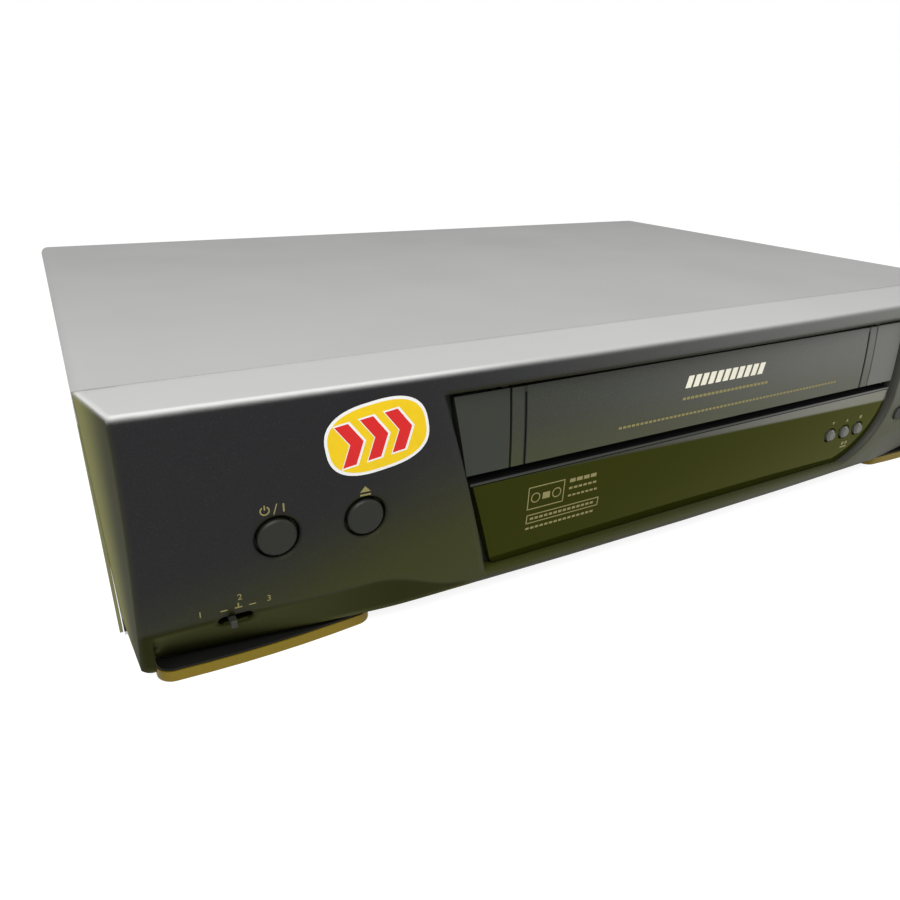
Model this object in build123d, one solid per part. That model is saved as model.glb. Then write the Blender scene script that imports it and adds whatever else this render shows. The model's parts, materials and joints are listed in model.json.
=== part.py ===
from build123d import *
from math import atan2, cos, degrees, hypot, radians, sin, sqrt
import os

# VHS video cassette recorder, taken apart into the pieces it is made of.
# Lengths are in millimetres.  X runs along the front from left to right, Y from
# the front to the back, Z up from the surface the feet stand on.  While it is
# modelled, Y = 0 is the front datum, and the last function moves everything so
# that the origin is the middle of the footprint.

# ---------------------------------------------------------------- driving sizes
# Case
case_width = 430.0
case_height = 88.0
cover_front_y = 24.25       # where the sheet cover meets the moulded front
cover_back_y = 281.5
under_gap = 6.8             # floor to the underside of the case
sheet = 1.0                 # folded steel of the cover
sheet_bend_r = 3.5          # outside of the cover's long bends
seat_gap = 0.1              # between pieces that lie face to face
cover_lip_h = 10.0          # fold down at the back of the cover
rear_panel_t = 2.0
rear_panel_y = 278.0        # inner face of the rear panel
rear_vents, rear_vent_pitch, rear_vent_w = 12, 8.0, 3.0
rear_vent_in, rear_vent_drop = 85.0, (18.0, 40.0)   # first slot, in from the side; ends below the top
tray_t = 1.2                # steel tray under everything
tray_flange_h = 30.0
vent_pitch, vent_w = 9.0, 4.0
vent_in, tray_vent_y = 65.0, (100.0, 140.0)   # left vents, in from the side; front and back ends
standoff_h = 5.5            # tray to the circuit boards
board_t = 1.6

# Front moulding: one surface, bowed along the front and bulging from top to bottom
face_front_y = -6.2         # foremost point, on the centre line
face_mid_z = 45.0           # height of the foremost point
face_bulge_r = 260.0
face_bow_r = 4700.0
bow_stations = (152.0, 122.0, 60.0)   # the bow is made of flat runs that turn by under 1 degree here
face_top_drop = 0.8         # top of the case to where the rounded top edge starts
face_top_round = 1.8
face_foot_round = 2.4
panel_wall = 2.6
panel_lip = 5.0             # tongue of the front that slides under the cover
corner_top_in, corner_top_y = 6.3, 1.9     # front end of the corner facet, in from the side
corner_foot_in, corner_foot_y = 3.2, 0.3   # the same at the underside
side_draft = 1.5            # how much narrower the front is at the underside
side_round_r = 9.0          # long round along the underside of each end
bevel_top_z = 21.0          # scooped bevel over each front foot
bevel_outer_in, bevel_inner_in, bevel_end_in = 7.5, 87.0, 107.0   # in from the side
bevel_outer_depth = 10.0
bevel_inner_depth = 2.6

# Recess of the cassette door and the window
cassette_x = 8.3            # centre of the cassette slot and of the whole deck
recess_depth = 3.95         # its floor follows the bulge of the face
recess_top_drop = 7.6       # top of the case to the top of the recess
recess_foot_z = 12.0
recess_left_top_x = -116.0
recess_left_foot_x = -98.4
recess_right_x = 128.3
recess_bend_drop = 4.2      # top of the window to where the right side starts to sweep in
recess_sweep = (121.0, 24.5)
recess_right_foot_x = 103.0
recess_corner_r = 2.5

# Cassette and its door
cassette_w, cassette_d, cassette_h = 188.0, 104.0, 25.0
flap_w = 196.0
flap_t = 2.0
flap_top_drop = 2.2         # top of the recess to the top of the door
flap_h = 27.5
flap_gap = 0.9
flap_axis_in, flap_axis_drop = 1.5, 0.8   # pins behind and below the door's top edge
flap_pin_r = 0.7
flap_pin_len = 8.4
pin_clearance = 0.06
flap_groove_in = 5.4        # grooves near both ends of the door
flap_groove_w, flap_groove_d = 0.7, 0.5
door_spring_r, door_spring_wire_r, door_spring_turns = 1.7, 0.3, 3
spring_gap = 0.3            # between the spring, its peg and the door's pin
spring_peg_len = 4.0
sill_drop = 3.1             # door to the top of the bright-edged sill
sill_t = 1.0
surround_in = 3.0           # door's top edge to the front of the surround's back frame
surround_t = 2.5
surround_lap = 2.5          # how far it laps behind the rim of the recess
surround_ear_t = 2.4

# Window
window_top_drop, window_foot_z = 1.4, 12.6   # below the top of the sill; above the floor
window_left_top_x, window_left_foot_x = -104.4, -94.4
window_inset = 2.4          # from the recess on the right
window_corner_r = 3.0
display_w, display_h, display_d = 96.0, 20.0, 6.0
display_margin = 1.0

# Push buttons
button_r = 5.8
button_well_r, button_hole_r = 7.6, 6.55
button_power_in, button_power_z = 44.7, 45.4   # in from the left side; above the floor
button_eject_in, button_eject_z = 71.8, 45.8
button_travel = 1.0
small_button_r = 2.8
small_button_hole_r = 3.35
small_button_well_r = 4.0
small_button_proud = 1.4
small_button_x = (89.3, 99.4, 109.5)
small_button_z = 28.9
small_button_travel = 0.8
key_columns = 3
key_h, key_round = 5.2, 2.0
key_recess_gap, key_side_gap, key_space = 5.7, 25.0, 4.0   # the keys share the room between these
key_row_z = (32.6, 50.0)
key_gap = 0.45
key_travel = 0.8
key_proud = 0.8
flange_t = 1.5              # stop flange behind each button
flange_w = 1.4
switch_size = (6.0, 3.6)    # tact switch width and depth
plunger_r, plunger_len = 1.7, 1.0
front_board_y = 17.0
board_end_gap, board_door_gap, board_top_drop = 14.0, (16.0, 24.0), 18.0

# Slide selector in the left bevel
selector_in, selector_z = 30.8, 20.4
selector_slot_w, selector_slot_h = 10.4, 3.6
selector_knob_w, selector_knob_h = 1.9, 2.4
selector_knob_off = -1.1     # knob at rest, from the middle of its slot
selector_reach = 2.6        # how far the knob stands out of the bevel

# Feet
foot_outer_in, foot_inner_in = 7.5, 76.5   # in from the side
foot_front_y, foot_back_y = 2.4, 21.0
foot_bow = 1.3
foot_end_r = 5.5
foot_trim_h = 3.9
foot_trim_t = 1.0
foot_lip_h = 0.7
rear_foot_r = 9.0
rear_foot_in, rear_foot_y = 40.0, 250.0

# Tape deck
deck_edge = 0.85            # deck plate beyond the side frames
deck_front_y, deck_back_y = 34.0, 266.0
deck_z, deck_t = 26.0, 1.5   # top face and thickness of the deck plate
deck_leg_r, deck_screw_r = 4.0, 1.4
carriage_front_y = 33.0
carriage_floor_drop = 1.1   # foot of the door to the carriage's ledges
carriage_wall = 1.5
carriage_sheet = 1.2
carriage_ledge = 8.0
carriage_room = (1.25, 2.0, 2.0)   # spare width each side, depth and height
rack_gap, rack_t = 0.9, 1.3
rack_web = 7.8   # below the rack's upright slots
frame_gap, frame_t = 0.7, 1.5
frame_back_y, frame_top_drop = 204.0, 4.0
load_travel, drop_travel = 58.0, 14.0
guide_pin_r = 1.5
guide_back = 22.0            # front guide pins of the rack, behind the carriage's mouth
guide_spread = 54.0          # front to rear pins of the carriage

reel_pitch = 92.0
reel_y = 139.0
reel_rim_r, reel_rim_t = 20.0, 3.0
reel_spindle_r, reel_spindle_top = 4.2, 48.0
reel_lift = 3.3             # deck plate to the underside of the rim
idler_pivot_y = 150.0
idler_r, idler_hub_r = 10.0, 9.8
capstan_xy = (70.0, 205.0)
capstan_r, capstan_top = 1.5, 54.0
capstan_bearing_r = 5.0
rotor_r, rotor_z, rotor_t = 27.0, 11.0, 5.5
belt_pulley_r, centre_pulley_r = 8.0, 16.0
belt_z, belt_h, belt_t = 18.3, 2.2, 0.8
belt_gap = 0.15
stator_z, stator_t, stator_margin = 22.0, 1.5, 2.0
shaft_clearance = 0.05

drum_r, drum_y = 31.0, 232.0
drum_lean = 5.9
drum_base_h, drum_top_h = 17.0, 21.0
drum_foot_z = 30.0
drum_gap = 0.4
drum_groove_z = 4.0
roller_r, roller_h = 6.5, 14.0
roller_contact_gap = 0.2
pinch_pivot_xy = (92.0, 222.0)
pinch_meet_deg = 60.0        # seen from the capstan, the side the roller comes to
pinch_swing = 40.0
post_start = (27.7, 186.0)   # from the deck's centre line
post_end = (37.7, 220.0)
post_r, post_top = 3.0, 50.0
shoe_r, shoe_t = 4.6, 2.5
shoe_slot_w, keel_collar_r = 4.0, 3.0
cam_xy = (-62.0, 236.0)
gear_module = 0.8
cam_teeth, pinion_teeth = 60, 12
gear_t = 3.2
pinion_dir = 240.0           # where the pinion sits round the cam gear
tension_pivot_xy = (-66.0, 186.0)
tension_post_xy = (-38.0, 198.0)
erase_head_xy = (-44.0, 208.5)
control_head_xy = (57.5, 213.0)

# Power supply, electronics and sockets
board_side_gap, board_deck_gap = 10.0, 5.7
board_back_y, power_board_y, main_board_y = 272.0, 150.0, 40.0
transformer_in, transformer_y, transformer_size = 46.0, 192.0, (50.0, 42.0, 38.0)
sink_board_in, sink_y, sink_size = 14.0, 205.0, (16.0, 60.0, 34.0)
sink_fins, sink_fin_t = 6, 2.0
can_sizes = ((9.0, 32.0), (6.5, 24.0), (6.5, 24.0), (5.0, 18.0))   # radius and height
can_first_in, can_pitch, can_y = 16.0, 19.0, 242.0
mains_in, mains_z = 39.0, 30.0
mains_w, mains_h, mains_cavity_w, mains_cavity_h, mains_depth = 24.0, 15.0, 14.4, 8.4, 11.0
mains_pin_pitch, mains_pin_r = 8.6, 1.2
tuner_in, tuner_y = (65.0, 13.0), (222.0, 276.0)
tuner_h = 34.0
aerial_in, aerial_z = (52.0, 28.0), 34.0
aerial_r, aerial_bore_r, aerial_pin_r, aerial_len = 4.75, 4.0, 1.15, 10.0
phono_in, phono_z = (94.0, 80.0), (26.0, 42.0)
phono_wall, phono_d = 7.0, 11.5
socket_shoulder = 0.4       # step of a socket's barrel inside the rear panel
phono_r, phono_bore_r, phono_len = 4.15, 1.65, 8.0
socket_hole_gap = 0.8
panel_screw_r, panel_screw_head_r = 1.5, 3.2

# ------------------------------------------------------------- derived places
bulge_axis_y = face_front_y + face_bulge_r
half_w = case_width / 2
cover_inner_z = case_height - sheet
face_top_z = case_height - face_top_drop
corner_top = (half_w - corner_top_in, corner_top_y)
corner_foot = (half_w - corner_foot_in, corner_foot_y)
bevel_outer_x, bevel_inner_x = half_w - bevel_outer_in, half_w - bevel_inner_in
bevel_end_x = half_w - bevel_end_in
recess_top_z = case_height - recess_top_drop
flap_top_z = recess_top_z - flap_top_drop
flap_foot_z = flap_top_z - flap_h
flap_axis_z = flap_top_z - flap_axis_drop
sill_z = flap_foot_z - sill_drop
window_top_z = sill_z - window_top_drop
display_z = (window_top_z + window_foot_z) / 2
recess_bend_z = window_top_z - recess_bend_drop
flap_x0, flap_x1 = cassette_x - flap_w / 2, cassette_x + flap_w / 2
button_power_xz = (button_power_in - half_w, button_power_z)
button_eject_xz = (button_eject_in - half_w, button_eject_z)
keys_x0, keys_x1 = recess_right_x + key_recess_gap, half_w - key_side_gap
key_w = (keys_x1 - keys_x0 - (key_columns - 1) * key_space) / key_columns
selector_xz = (selector_in - half_w, selector_z)
selector_knob_x = selector_xz[0] + selector_knob_off
foot_outer_x, foot_inner_x = half_w - foot_outer_in, half_w - foot_inner_in
rear_foot_xy = (half_w - rear_foot_in, rear_foot_y)
deck_under_z = deck_z - deck_t
tray_top_z = under_gap + tray_t
board_z = tray_top_z + standoff_h
board_top_z = board_z + board_t
bay_half_w = cassette_w / 2 + carriage_room[0]
bay_d = cassette_d + carriage_room[1]
bay_h = cassette_h + carriage_room[2]
carriage_half_w = bay_half_w + carriage_wall
carriage_floor_z = flap_foot_z - carriage_floor_drop
frame_top_z = cover_inner_z - frame_top_drop
carriage_top_z = carriage_floor_z + bay_h + carriage_sheet
carriage_back_y = carriage_front_y + bay_d
rack_in_x = carriage_half_w + rack_gap
rack_out_x = rack_in_x + rack_t
frame_in_x = rack_out_x + frame_gap
deck_half_w = frame_in_x + frame_t + deck_edge
guide_front_y = carriage_front_y + guide_back
rack_bar_z = carriage_top_z + 3.0
carriage_pin_z = carriage_floor_z + 14.0
cover_screw_z = cover_inner_z - cover_lip_h / 2 - 0.5
roller_z0 = deck_z + 12.0
rear_face_y = rear_panel_y + rear_panel_t
socket_end_y = rear_face_y + aerial_len
deck_x0, deck_x1 = cassette_x - deck_half_w, cassette_x + deck_half_w
power_board_box = (board_side_gap - half_w, deck_x0 - board_deck_gap, power_board_y, board_back_y)
main_board_box = (deck_x1 + board_deck_gap, half_w - board_side_gap, main_board_y, board_back_y)
transformer_xy = (transformer_in - half_w, transformer_y)
sink_xy = (power_board_box[1] - sink_board_in, sink_y)
mains_x = mains_in - half_w
tuner_box = (half_w - tuner_in[0], half_w - tuner_in[1], *tuner_y)
aerial_x = [half_w - inset for inset in aerial_in]
phono_x = [half_w - inset for inset in phono_in]

nodes = {}


def keep(name, *solids):
    """Put one named piece, or a group of like pieces, in the model."""
    nodes[name] = solids[0] if len(solids) == 1 else Compound(children=list(solids))


def block(x0, x1, y0, y1, z0, z1):
    """Box between two corners."""
    return Pos((x0 + x1) / 2, (y0 + y1) / 2, (z0 + z1) / 2) * Box(x1 - x0, y1 - y0, z1 - z0)


def post(x, y, z0, z1, r):
    """Upright cylinder."""
    return Pos(x, y, (z0 + z1) / 2) * Cylinder(r, z1 - z0)


def rod_x(y, z, x0, x1, r):
    """Cylinder along the front."""
    return Pos((x0 + x1) / 2, y, z) * Rot(0, 90, 0) * Cylinder(r, x1 - x0)


def rod_y(x, z, y0, y1, r):
    """Cylinder from front to back."""
    return Pos(x, (y0 + y1) / 2, z) * Rot(90, 0, 0) * Cylinder(r, y1 - y0)


def front_face(outline, y):
    """Flat face at depth y from (x, z) points or from edges drawn at y = 0."""
    if isinstance(outline[0], tuple):
        outline = [Polyline([(px, 0, pz) for px, pz in outline], close=True)]
    return Pos(0, y, 0) * make_face(outline)


def prism_y(outline, y0, y1):
    """Outline in the front view, pushed back from y0 to y1."""
    return extrude(front_face(outline, y0), amount=y1 - y0, dir=(0, 1, 0))


def prism_x(points, x0, x1):
    """Side profile of (y, z) points, pushed along the front."""
    face = make_face(Polyline([(x0, py, pz) for py, pz in points], close=True))
    return extrude(face, amount=x1 - x0, dir=(1, 0, 0))


def bulge_y(z, inset=0.0):
    """Depth of the bulging face at height z, on the centre line."""
    return bulge_axis_y - sqrt((face_bulge_r - inset) ** 2 - (z - face_mid_z) ** 2)


def bow(x):
    """How far the bowed face falls back at a distance x from the centre line."""
    return x ** 2 / (2 * face_bow_r)


def face_y(x, z, inset=0.0):
    """Depth of the bowed and bulging face anywhere on the front."""
    return bulge_y(z, inset) + bow(x)


# the door's pins and the frame behind it follow the bulge
flap_axis_y = bulge_y(flap_top_z, recess_depth) + flap_axis_in
spring_axis_y = flap_axis_y + flap_pin_r + spring_gap + door_spring_r + door_spring_wire_r
surround_y = bulge_y(flap_top_z, recess_depth) + surround_in
surround_back_y = surround_y + surround_t
recess_rim_y = surround_y - seat_gap


# -------------------------------------------------------------- front moulding
def face_body(inset, back_y):
    """Solid behind the bowed, bulging face, held in by `inset` on every side."""
    top, foot = face_top_z - inset, under_gap + inset
    slope = (case_height - face_top_z) / (cover_front_y - bulge_y(face_top_z))
    reach = back_y + 12
    crown = case_height - inset + slope * (reach - cover_front_y)
    curve = ThreePointArc((0, bulge_y(top, inset), top), (0, face_front_y + inset, face_mid_z),
                          (0, bulge_y(foot, inset), foot))
    rest = Polyline(curve @ 1, (0, reach, foot), (0, reach, crown), curve @ 0)
    profile = make_face([curve, rest])
    if inset == 0:
        top_corner, foot_corner = profile.vertices().sort_by(Axis.Y)[:2].sort_by(Axis.Z, reverse=True)
        profile = fillet(top_corner, face_top_round)
        foot_corner = profile.vertices().sort_by_distance(foot_corner)[0]
        profile = fillet(foot_corner, face_foot_round)
    stations = [-half_w - 6] + [-x for x in bow_stations] + [0] + list(reversed(bow_stations)) + [half_w + 6]
    body = loft([Pos(x, bow(x), 0) * profile for x in stations], ruled=True)
    return body - block(-case_width, case_width, back_y, back_y + 60, 0, 2 * case_height)


def corner_cutter(side, inset):
    """Everything outside one end of the front: a facet that turns as it drops."""
    sections = []
    for z, (tip_x, tip_y), rear_x in ((case_height + 3, corner_top, half_w),
                                      (under_gap - 3, corner_foot, half_w - side_draft)):
        lead = (rear_x - tip_x) / (cover_front_y - tip_y)
        ahead, behind = face_front_y - 8, cover_front_y + 14
        outline = [(rear_x, behind), (rear_x, cover_front_y),
                   (rear_x - lead * (cover_front_y - ahead), ahead),
                   (half_w + 20, ahead), (half_w + 20, behind)]
        sections.append(make_face(Polyline([(side * (px - inset), py, z) for px, py in outline],
                                           close=True)))
    return loft(sections, ruled=True)


def side_round(side, inset):
    """Sliver between the square lower edge of one end and its long round."""
    edge_x, r = half_w - side_draft + 0.1 - inset, side_round_r
    z0 = under_gap + inset - 0.2
    square = block(edge_x - r, edge_x + 6, face_front_y - 9, cover_front_y + 14, z0 - 4, z0 + r)
    barrel = rod_y(edge_x - r, z0 + r, face_front_y - 10, cover_front_y + 15, r)
    keep_out = block(edge_x - r - 1, edge_x - r, face_front_y - 10, cover_front_y + 15, z0 - 5, z0 + r + 1)
    sliver = square - barrel - keep_out
    return sliver if side > 0 else mirror(sliver, Plane.YZ)


def bevel_cutter(side):
    """Scoop under one end of the face, deepest outside, that leaves room for the foot."""
    def section(x, top_z, depth):
        edge_y = face_y(x, top_z) - 0.05
        points = [(edge_y - 14, top_z + 0.5), (edge_y, top_z), (edge_y + depth, under_gap - 1),
                  (edge_y - 14, under_gap - 1)]
        return make_face(Polyline([(side * x, py, pz) for py, pz in points], close=True))
    outer = section(bevel_outer_x, bevel_top_z, bevel_outer_depth)
    inner = section(bevel_inner_x, bevel_top_z, bevel_inner_depth)
    end = section(bevel_end_x, under_gap + 0.8, 0.4)
    return loft([outer, inner], ruled=True) + loft([inner, end], ruled=True)


def recess_edges(grow=0.0):
    """Outline of the recess: slanted on the left, swept in at the lower right."""
    g = grow
    left_top = (recess_left_top_x - g, 0, recess_top_z + g)
    left_foot = (recess_left_foot_x - g, 0, recess_foot_z - g)
    sweep_foot = (recess_right_foot_x, 0, recess_foot_z - g)
    sweep_top = (recess_right_x + g, 0, recess_bend_z)
    sweep = ThreePointArc(sweep_foot, (recess_sweep[0] + 0.7 * g, 0, recess_sweep[1] - 0.7 * g), sweep_top)
    return [Polyline(sweep @ 1, (recess_right_x + g, 0, recess_top_z + g), left_top, left_foot,
                     sweep @ 0), sweep]


def recess_prism(y0, y1, grow=0.0):
    return prism_y(recess_edges(grow), y0, y1)


def shaped_y(outline, back_y):
    """Piece with an outline in the front view and the bulge of the recess floor in front."""
    core = prism_y(outline, face_front_y - 4, back_y)
    box = core.bounding_box()
    drum = rod_x(bulge_axis_y, face_mid_z, box.min.X - 1, box.max.X + 1, face_bulge_r - recess_depth)
    return core & drum


def button_bore(x, z, r, well_r):
    """Hole with a chamfered well round it, cut along Y through the face."""
    y = face_y(x, z)
    cone_len = well_r - r
    well = Pos(x, y + cone_len / 2 - 0.15, z) * Rot(90, 0, 0) * Cone(r, well_r, cone_len + 0.3)
    return rod_y(x, z, y - 6, y + panel_wall + 6, r) + well


def key_places():
    """Middle of each transport key on the right, lower row first."""
    return [(keys_x0 + key_w / 2 + column * (key_w + key_space), z)
            for z in key_row_z for column in range(key_columns)]


def key_outline(x, z, grow):
    return Pos(x, 0, z) * Rot(90, 0, 0) * RectangleRounded(key_w + 2 * grow, key_h + 2 * grow,
                                                           key_round + grow)


def key_prism(x, z, y0, y1, grow=0.0):
    face = Pos(0, y0, 0) * key_outline(x, z, grow)
    return extrude(face, amount=y1 - y0, dir=(0, 1, 0))


def selector_slot(grow, y0, y1):
    x, z = selector_xz
    face = Pos(x, y0, z) * Rot(90, 0, 0) * SlotOverall(selector_slot_w + 2 * grow, selector_slot_h + 2 * grow)
    return extrude(face, amount=y1 - y0, dir=(0, 1, 0))


def face_cuts():
    """Everything that goes through the face: recess, wells, key holes and slot."""
    cuts = [recess_prism(face_front_y - 5, cover_front_y + 3),
            button_bore(*button_power_xz, button_hole_r, button_well_r),
            button_bore(*button_eject_xz, button_hole_r, button_well_r),
            selector_slot(0, face_front_y - 6, cover_front_y + 3)]
    for x, z in key_places():
        cuts.append(key_prism(x, z, face_front_y - 5, cover_front_y + 3, grow=key_gap))
    return cuts


def make_front_panel():
    """Moulded front: a bowed shell, open behind, with a rim round its recess."""
    body = face_body(0, cover_front_y)
    hollow = face_body(panel_wall, cover_front_y + 1)
    for side in (-1, 1):
        body = body - corner_cutter(side, 0) - side_round(side, 0)
        hollow = hollow - corner_cutter(side, panel_wall) - side_round(side, panel_wall)
    for side in (-1, 1):
        scoop = bevel_cutter(side)
        body -= scoop
        hollow -= Pos(0, panel_wall, panel_wall * 0.6) * scoop
    for cut in face_cuts():
        body -= cut
    hollow -= recess_prism(face_front_y - 5, recess_rim_y, grow=panel_wall)
    panel = body - hollow
    # tongue that slides under the cover
    tongue_z = cover_inner_z - seat_gap
    return panel + block(-half_w + 12, half_w - 12, cover_front_y - 6, cover_front_y + panel_lip,
                         tongue_z - 1.6, tongue_z)


# -------------------------------------------------- cassette door and window
def flap_body():
    """Door plate that follows the bulge of the recess floor."""
    outline = [(flap_x0, flap_top_z), (flap_x1, flap_top_z), (flap_x1, flap_foot_z), (flap_x0, flap_foot_z)]
    plate = shaped_y(outline, flap_axis_y + 4)
    behind = rod_x(bulge_axis_y, face_mid_z, flap_x0 - 1, flap_x1 + 1, face_bulge_r - recess_depth - flap_t)
    return plate - behind


def make_flap():
    flap = flap_body()
    groove_y = bulge_y(flap_top_z, recess_depth)
    for x in (flap_x0 + flap_groove_in, flap_x1 - flap_groove_in):
        groove = [(x - flap_groove_w / 2, flap_top_z - 2), (x + flap_groove_w / 2, flap_top_z - 2),
                  (x + flap_groove_w / 2, flap_foot_z - 1), (x - flap_groove_w / 2, flap_foot_z - 1)]
        skin = rod_x(bulge_axis_y, face_mid_z, x - 2, x + 2, face_bulge_r - recess_depth - flap_groove_d)
        flap -= prism_y(groove, face_front_y, groove_y + 2) - skin
    barrel_r = flap_pin_r + 0.5
    barrel = rod_x(flap_axis_y + 0.3, flap_axis_z - 0.1, flap_x0, flap_x1, barrel_r - 0.3)
    ends = rod_x(flap_axis_y, flap_axis_z, flap_x0 - flap_pin_len, flap_x1 + flap_pin_len / 2, flap_pin_r)
    return flap + barrel + ends


def door_opening(y0, y1):
    return block(flap_x0 - flap_gap, flap_x1 + flap_gap, y0, y1, sill_z + 2.2, flap_top_z + 1.4)


def make_surround():
    """Black frame behind the recess with a pad on each side of the door."""
    grow = surround_lap
    frame = recess_prism(surround_y, surround_back_y, grow=grow)
    top, foot = flap_top_z + 0.1, flap_foot_z
    left_pad = [(-111.4, top), (flap_x0 - flap_gap, top), (flap_x0 - flap_gap, foot), (-107.0, foot)]
    right_pad = [(flap_x1 + flap_gap, top), (recess_right_x - 2.2, top),
                 (recess_right_x - 2.6, foot), (flap_x1 + flap_gap, foot)]
    frame += shaped_y(left_pad, surround_y + 0.2)
    frame += shaped_y(right_pad, surround_y + 0.2)
    sill = [(recess_left_foot_x - 7, sill_z), (recess_right_x - 2.6, sill_z),
            (recess_right_x - 2.6, sill_z - sill_t), (recess_left_foot_x - 7, sill_z - sill_t)]
    frame += shaped_y(sill, surround_y + 0.2)
    # ears that carry the door pins
    ear_z0, ear_z1 = flap_axis_z - 6, flap_axis_z + 3.2
    for x0, x1 in ((flap_x0 - flap_gap - surround_ear_t, flap_x0 - flap_gap),
                   (flap_x1 + flap_gap, flap_x1 + flap_gap + surround_ear_t)):
        frame += block(x0, x1, flap_axis_y - 0.2, surround_back_y, ear_z0, ear_z1 - 1)
    # room behind the pads for the ends of the pins, and the peg of the door's spring
    room_y, room_r = flap_axis_y - flap_pin_r - 0.2, door_spring_r + door_spring_wire_r + 0.5
    left_ear_x, right_ear_x = flap_x0 - flap_gap - surround_ear_t, flap_x1 + flap_gap + surround_ear_t
    rooms = ((flap_x0 - flap_pin_len - 1.6, left_ear_x), (right_ear_x, flap_x1 + flap_pin_len / 2 + 0.6))
    for x0, x1 in rooms:
        frame -= block(x0, x1, room_y, surround_back_y + 1, flap_axis_z - 5, flap_axis_z + room_r)
    frame += rod_x(spring_axis_y, flap_axis_z, left_ear_x - spring_peg_len, left_ear_x,
                   door_spring_r - door_spring_wire_r - spring_gap)
    frame -= rod_x(flap_axis_y, flap_axis_z, flap_x0 - flap_pin_len - 1, flap_x1 + flap_pin_len / 2 + 0.6,
                   flap_pin_r + pin_clearance)
    frame -= door_opening(face_front_y - 3, surround_back_y + 2)
    # clear view for the display and holes for the small buttons
    half_view = display_w / 2 + 5 * display_margin
    frame -= block(cassette_x - half_view, cassette_x + half_view, surround_y - 1, surround_back_y + 1,
                   display_z - display_h / 2 - display_margin, display_z + display_h / 2 + display_margin)
    flange_room_r = small_button_r + flange_w + 0.4
    for x in small_button_x:
        frame -= rod_y(x, small_button_z, surround_y - 1, surround_back_y + 1, flange_room_r)
    return frame


def make_flap_spring():
    """Coil of the torsion spring that shuts the door, on its peg behind the left pin."""
    pitch = 2.4 * door_spring_wire_r
    path = Helix(pitch=pitch, height=pitch * door_spring_turns, radius=door_spring_r)
    wire = Plane(origin=path @ 0, z_dir=path % 0) * RegularPolygon(door_spring_wire_r, 6)
    coil = sweep(wire, path=path, is_frenet=True)
    x0 = flap_x0 - flap_gap - surround_ear_t - spring_peg_len + door_spring_wire_r
    return Pos(x0, spring_axis_y, flap_axis_z) * Rot(0, 90, 0) * coil


def window_outline():
    top_right = recess_right_x - window_inset - 0.6
    sweep = ThreePointArc((recess_right_foot_x - 1.5, 0, window_foot_z),
                          (recess_sweep[0] - window_inset + 0.4, 0, recess_sweep[1] + 1.2),
                          (top_right, 0, recess_bend_z))
    rest = Polyline(sweep @ 1, (top_right, 0, window_top_z), (window_left_top_x, 0, window_top_z),
                    (window_left_foot_x, 0, window_foot_z), sweep @ 0)
    return [rest, sweep]


def make_window():
    window = shaped_y(window_outline(), surround_y - seat_gap)
    lower_left = window.edges().filter_by(Axis.Y).sort_by(Axis.X)[0:2].sort_by(Axis.Z)[0]
    window = fillet(lower_left, window_corner_r)
    for x in small_button_x:
        y = bulge_y(small_button_z, recess_depth)
        window -= rod_y(x, small_button_z, y - 2, surround_y + 1, small_button_hole_r)
        cone_len = small_button_well_r - small_button_hole_r
        window -= (Pos(x, y + cone_len / 2 - 0.1, small_button_z) * Rot(90, 0, 0)
                   * Cone(small_button_hole_r, small_button_well_r, cone_len + 0.2))
    return window


# ------------------------------------------------------- buttons and selector
def stem_end_y(travel):
    """Where a button's stem stops, ahead of its switch by its travel and a little."""
    return front_board_y - switch_size[1] - plunger_len - travel - 0.2


def round_button(x, z, travel):
    """Dished cap with a stop flange inside the face and a stem to its switch."""
    y = face_y(x, z)
    seat_y = y + panel_wall + 0.8
    cap = rod_y(x, z, y - 0.3, seat_y + flange_t, button_r)
    cap = chamfer(cap.edges().filter_by(GeomType.CIRCLE).sort_by(Axis.Y)[0], 0.5)
    flange = rod_y(x, z, seat_y, seat_y + flange_t, button_r + flange_w + 0.8)
    stem = rod_y(x, z, seat_y, stem_end_y(travel), 2.0)
    return cap + flange + stem


def small_button(x):
    """Cap with a sloping rim that stands out of the window."""
    y = bulge_y(small_button_z, recess_depth)
    cap_r = small_button_r
    cap = rod_y(x, small_button_z, y - small_button_proud, surround_y + 3.5, cap_r)
    front = cap.edges().filter_by(GeomType.CIRCLE).sort_by(Axis.Y)[0]
    cap = chamfer(front, 0.6 * small_button_proud)
    flange = rod_y(x, small_button_z, surround_y + 0.2, surround_y + 0.2 + flange_t, cap_r + flange_w)
    stem = rod_y(x, small_button_z, surround_y + 1, stem_end_y(small_button_travel), 1.6)
    return cap + flange + stem


def transport_key(x, z):
    """Low rounded bar, a little proud of the face, with a stop flange behind it."""
    y = face_y(x, z)
    seat_y = face_y(x + key_w / 2, z) + panel_wall + 0.6
    cap = key_prism(x, z, y - key_proud, seat_y + flange_t)
    front = cap.edges().group_by(Axis.Y)[0]
    cap = chamfer(front, 0.6 * key_proud)
    flange = key_prism(x, z, seat_y, seat_y + flange_t, grow=flange_w)
    stem = block(x - 2, x + 2, seat_y, stem_end_y(key_travel), z - 1.5, z + 1.5)
    return cap + flange + stem


def make_selector():
    """Knob in the bevel's slot on a carrier that slides in its switch."""
    z = selector_xz[1]
    x0, x1 = selector_knob_x - selector_knob_w / 2, selector_knob_x + selector_knob_w / 2
    face = face_y(selector_knob_x, z)
    knob = block(x0, x1, face - selector_reach, front_board_y - 3.8, z - selector_knob_h / 2,
                 z + selector_knob_h / 2)
    knob = fillet(knob.edges().group_by(Axis.Y)[0], 0.35)
    carrier = block(x0 - 1.6, x1 + 1.6, front_board_y - 5.6, front_board_y - 3.8, z - 2.2, z + 2.2)
    return knob + carrier


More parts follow.
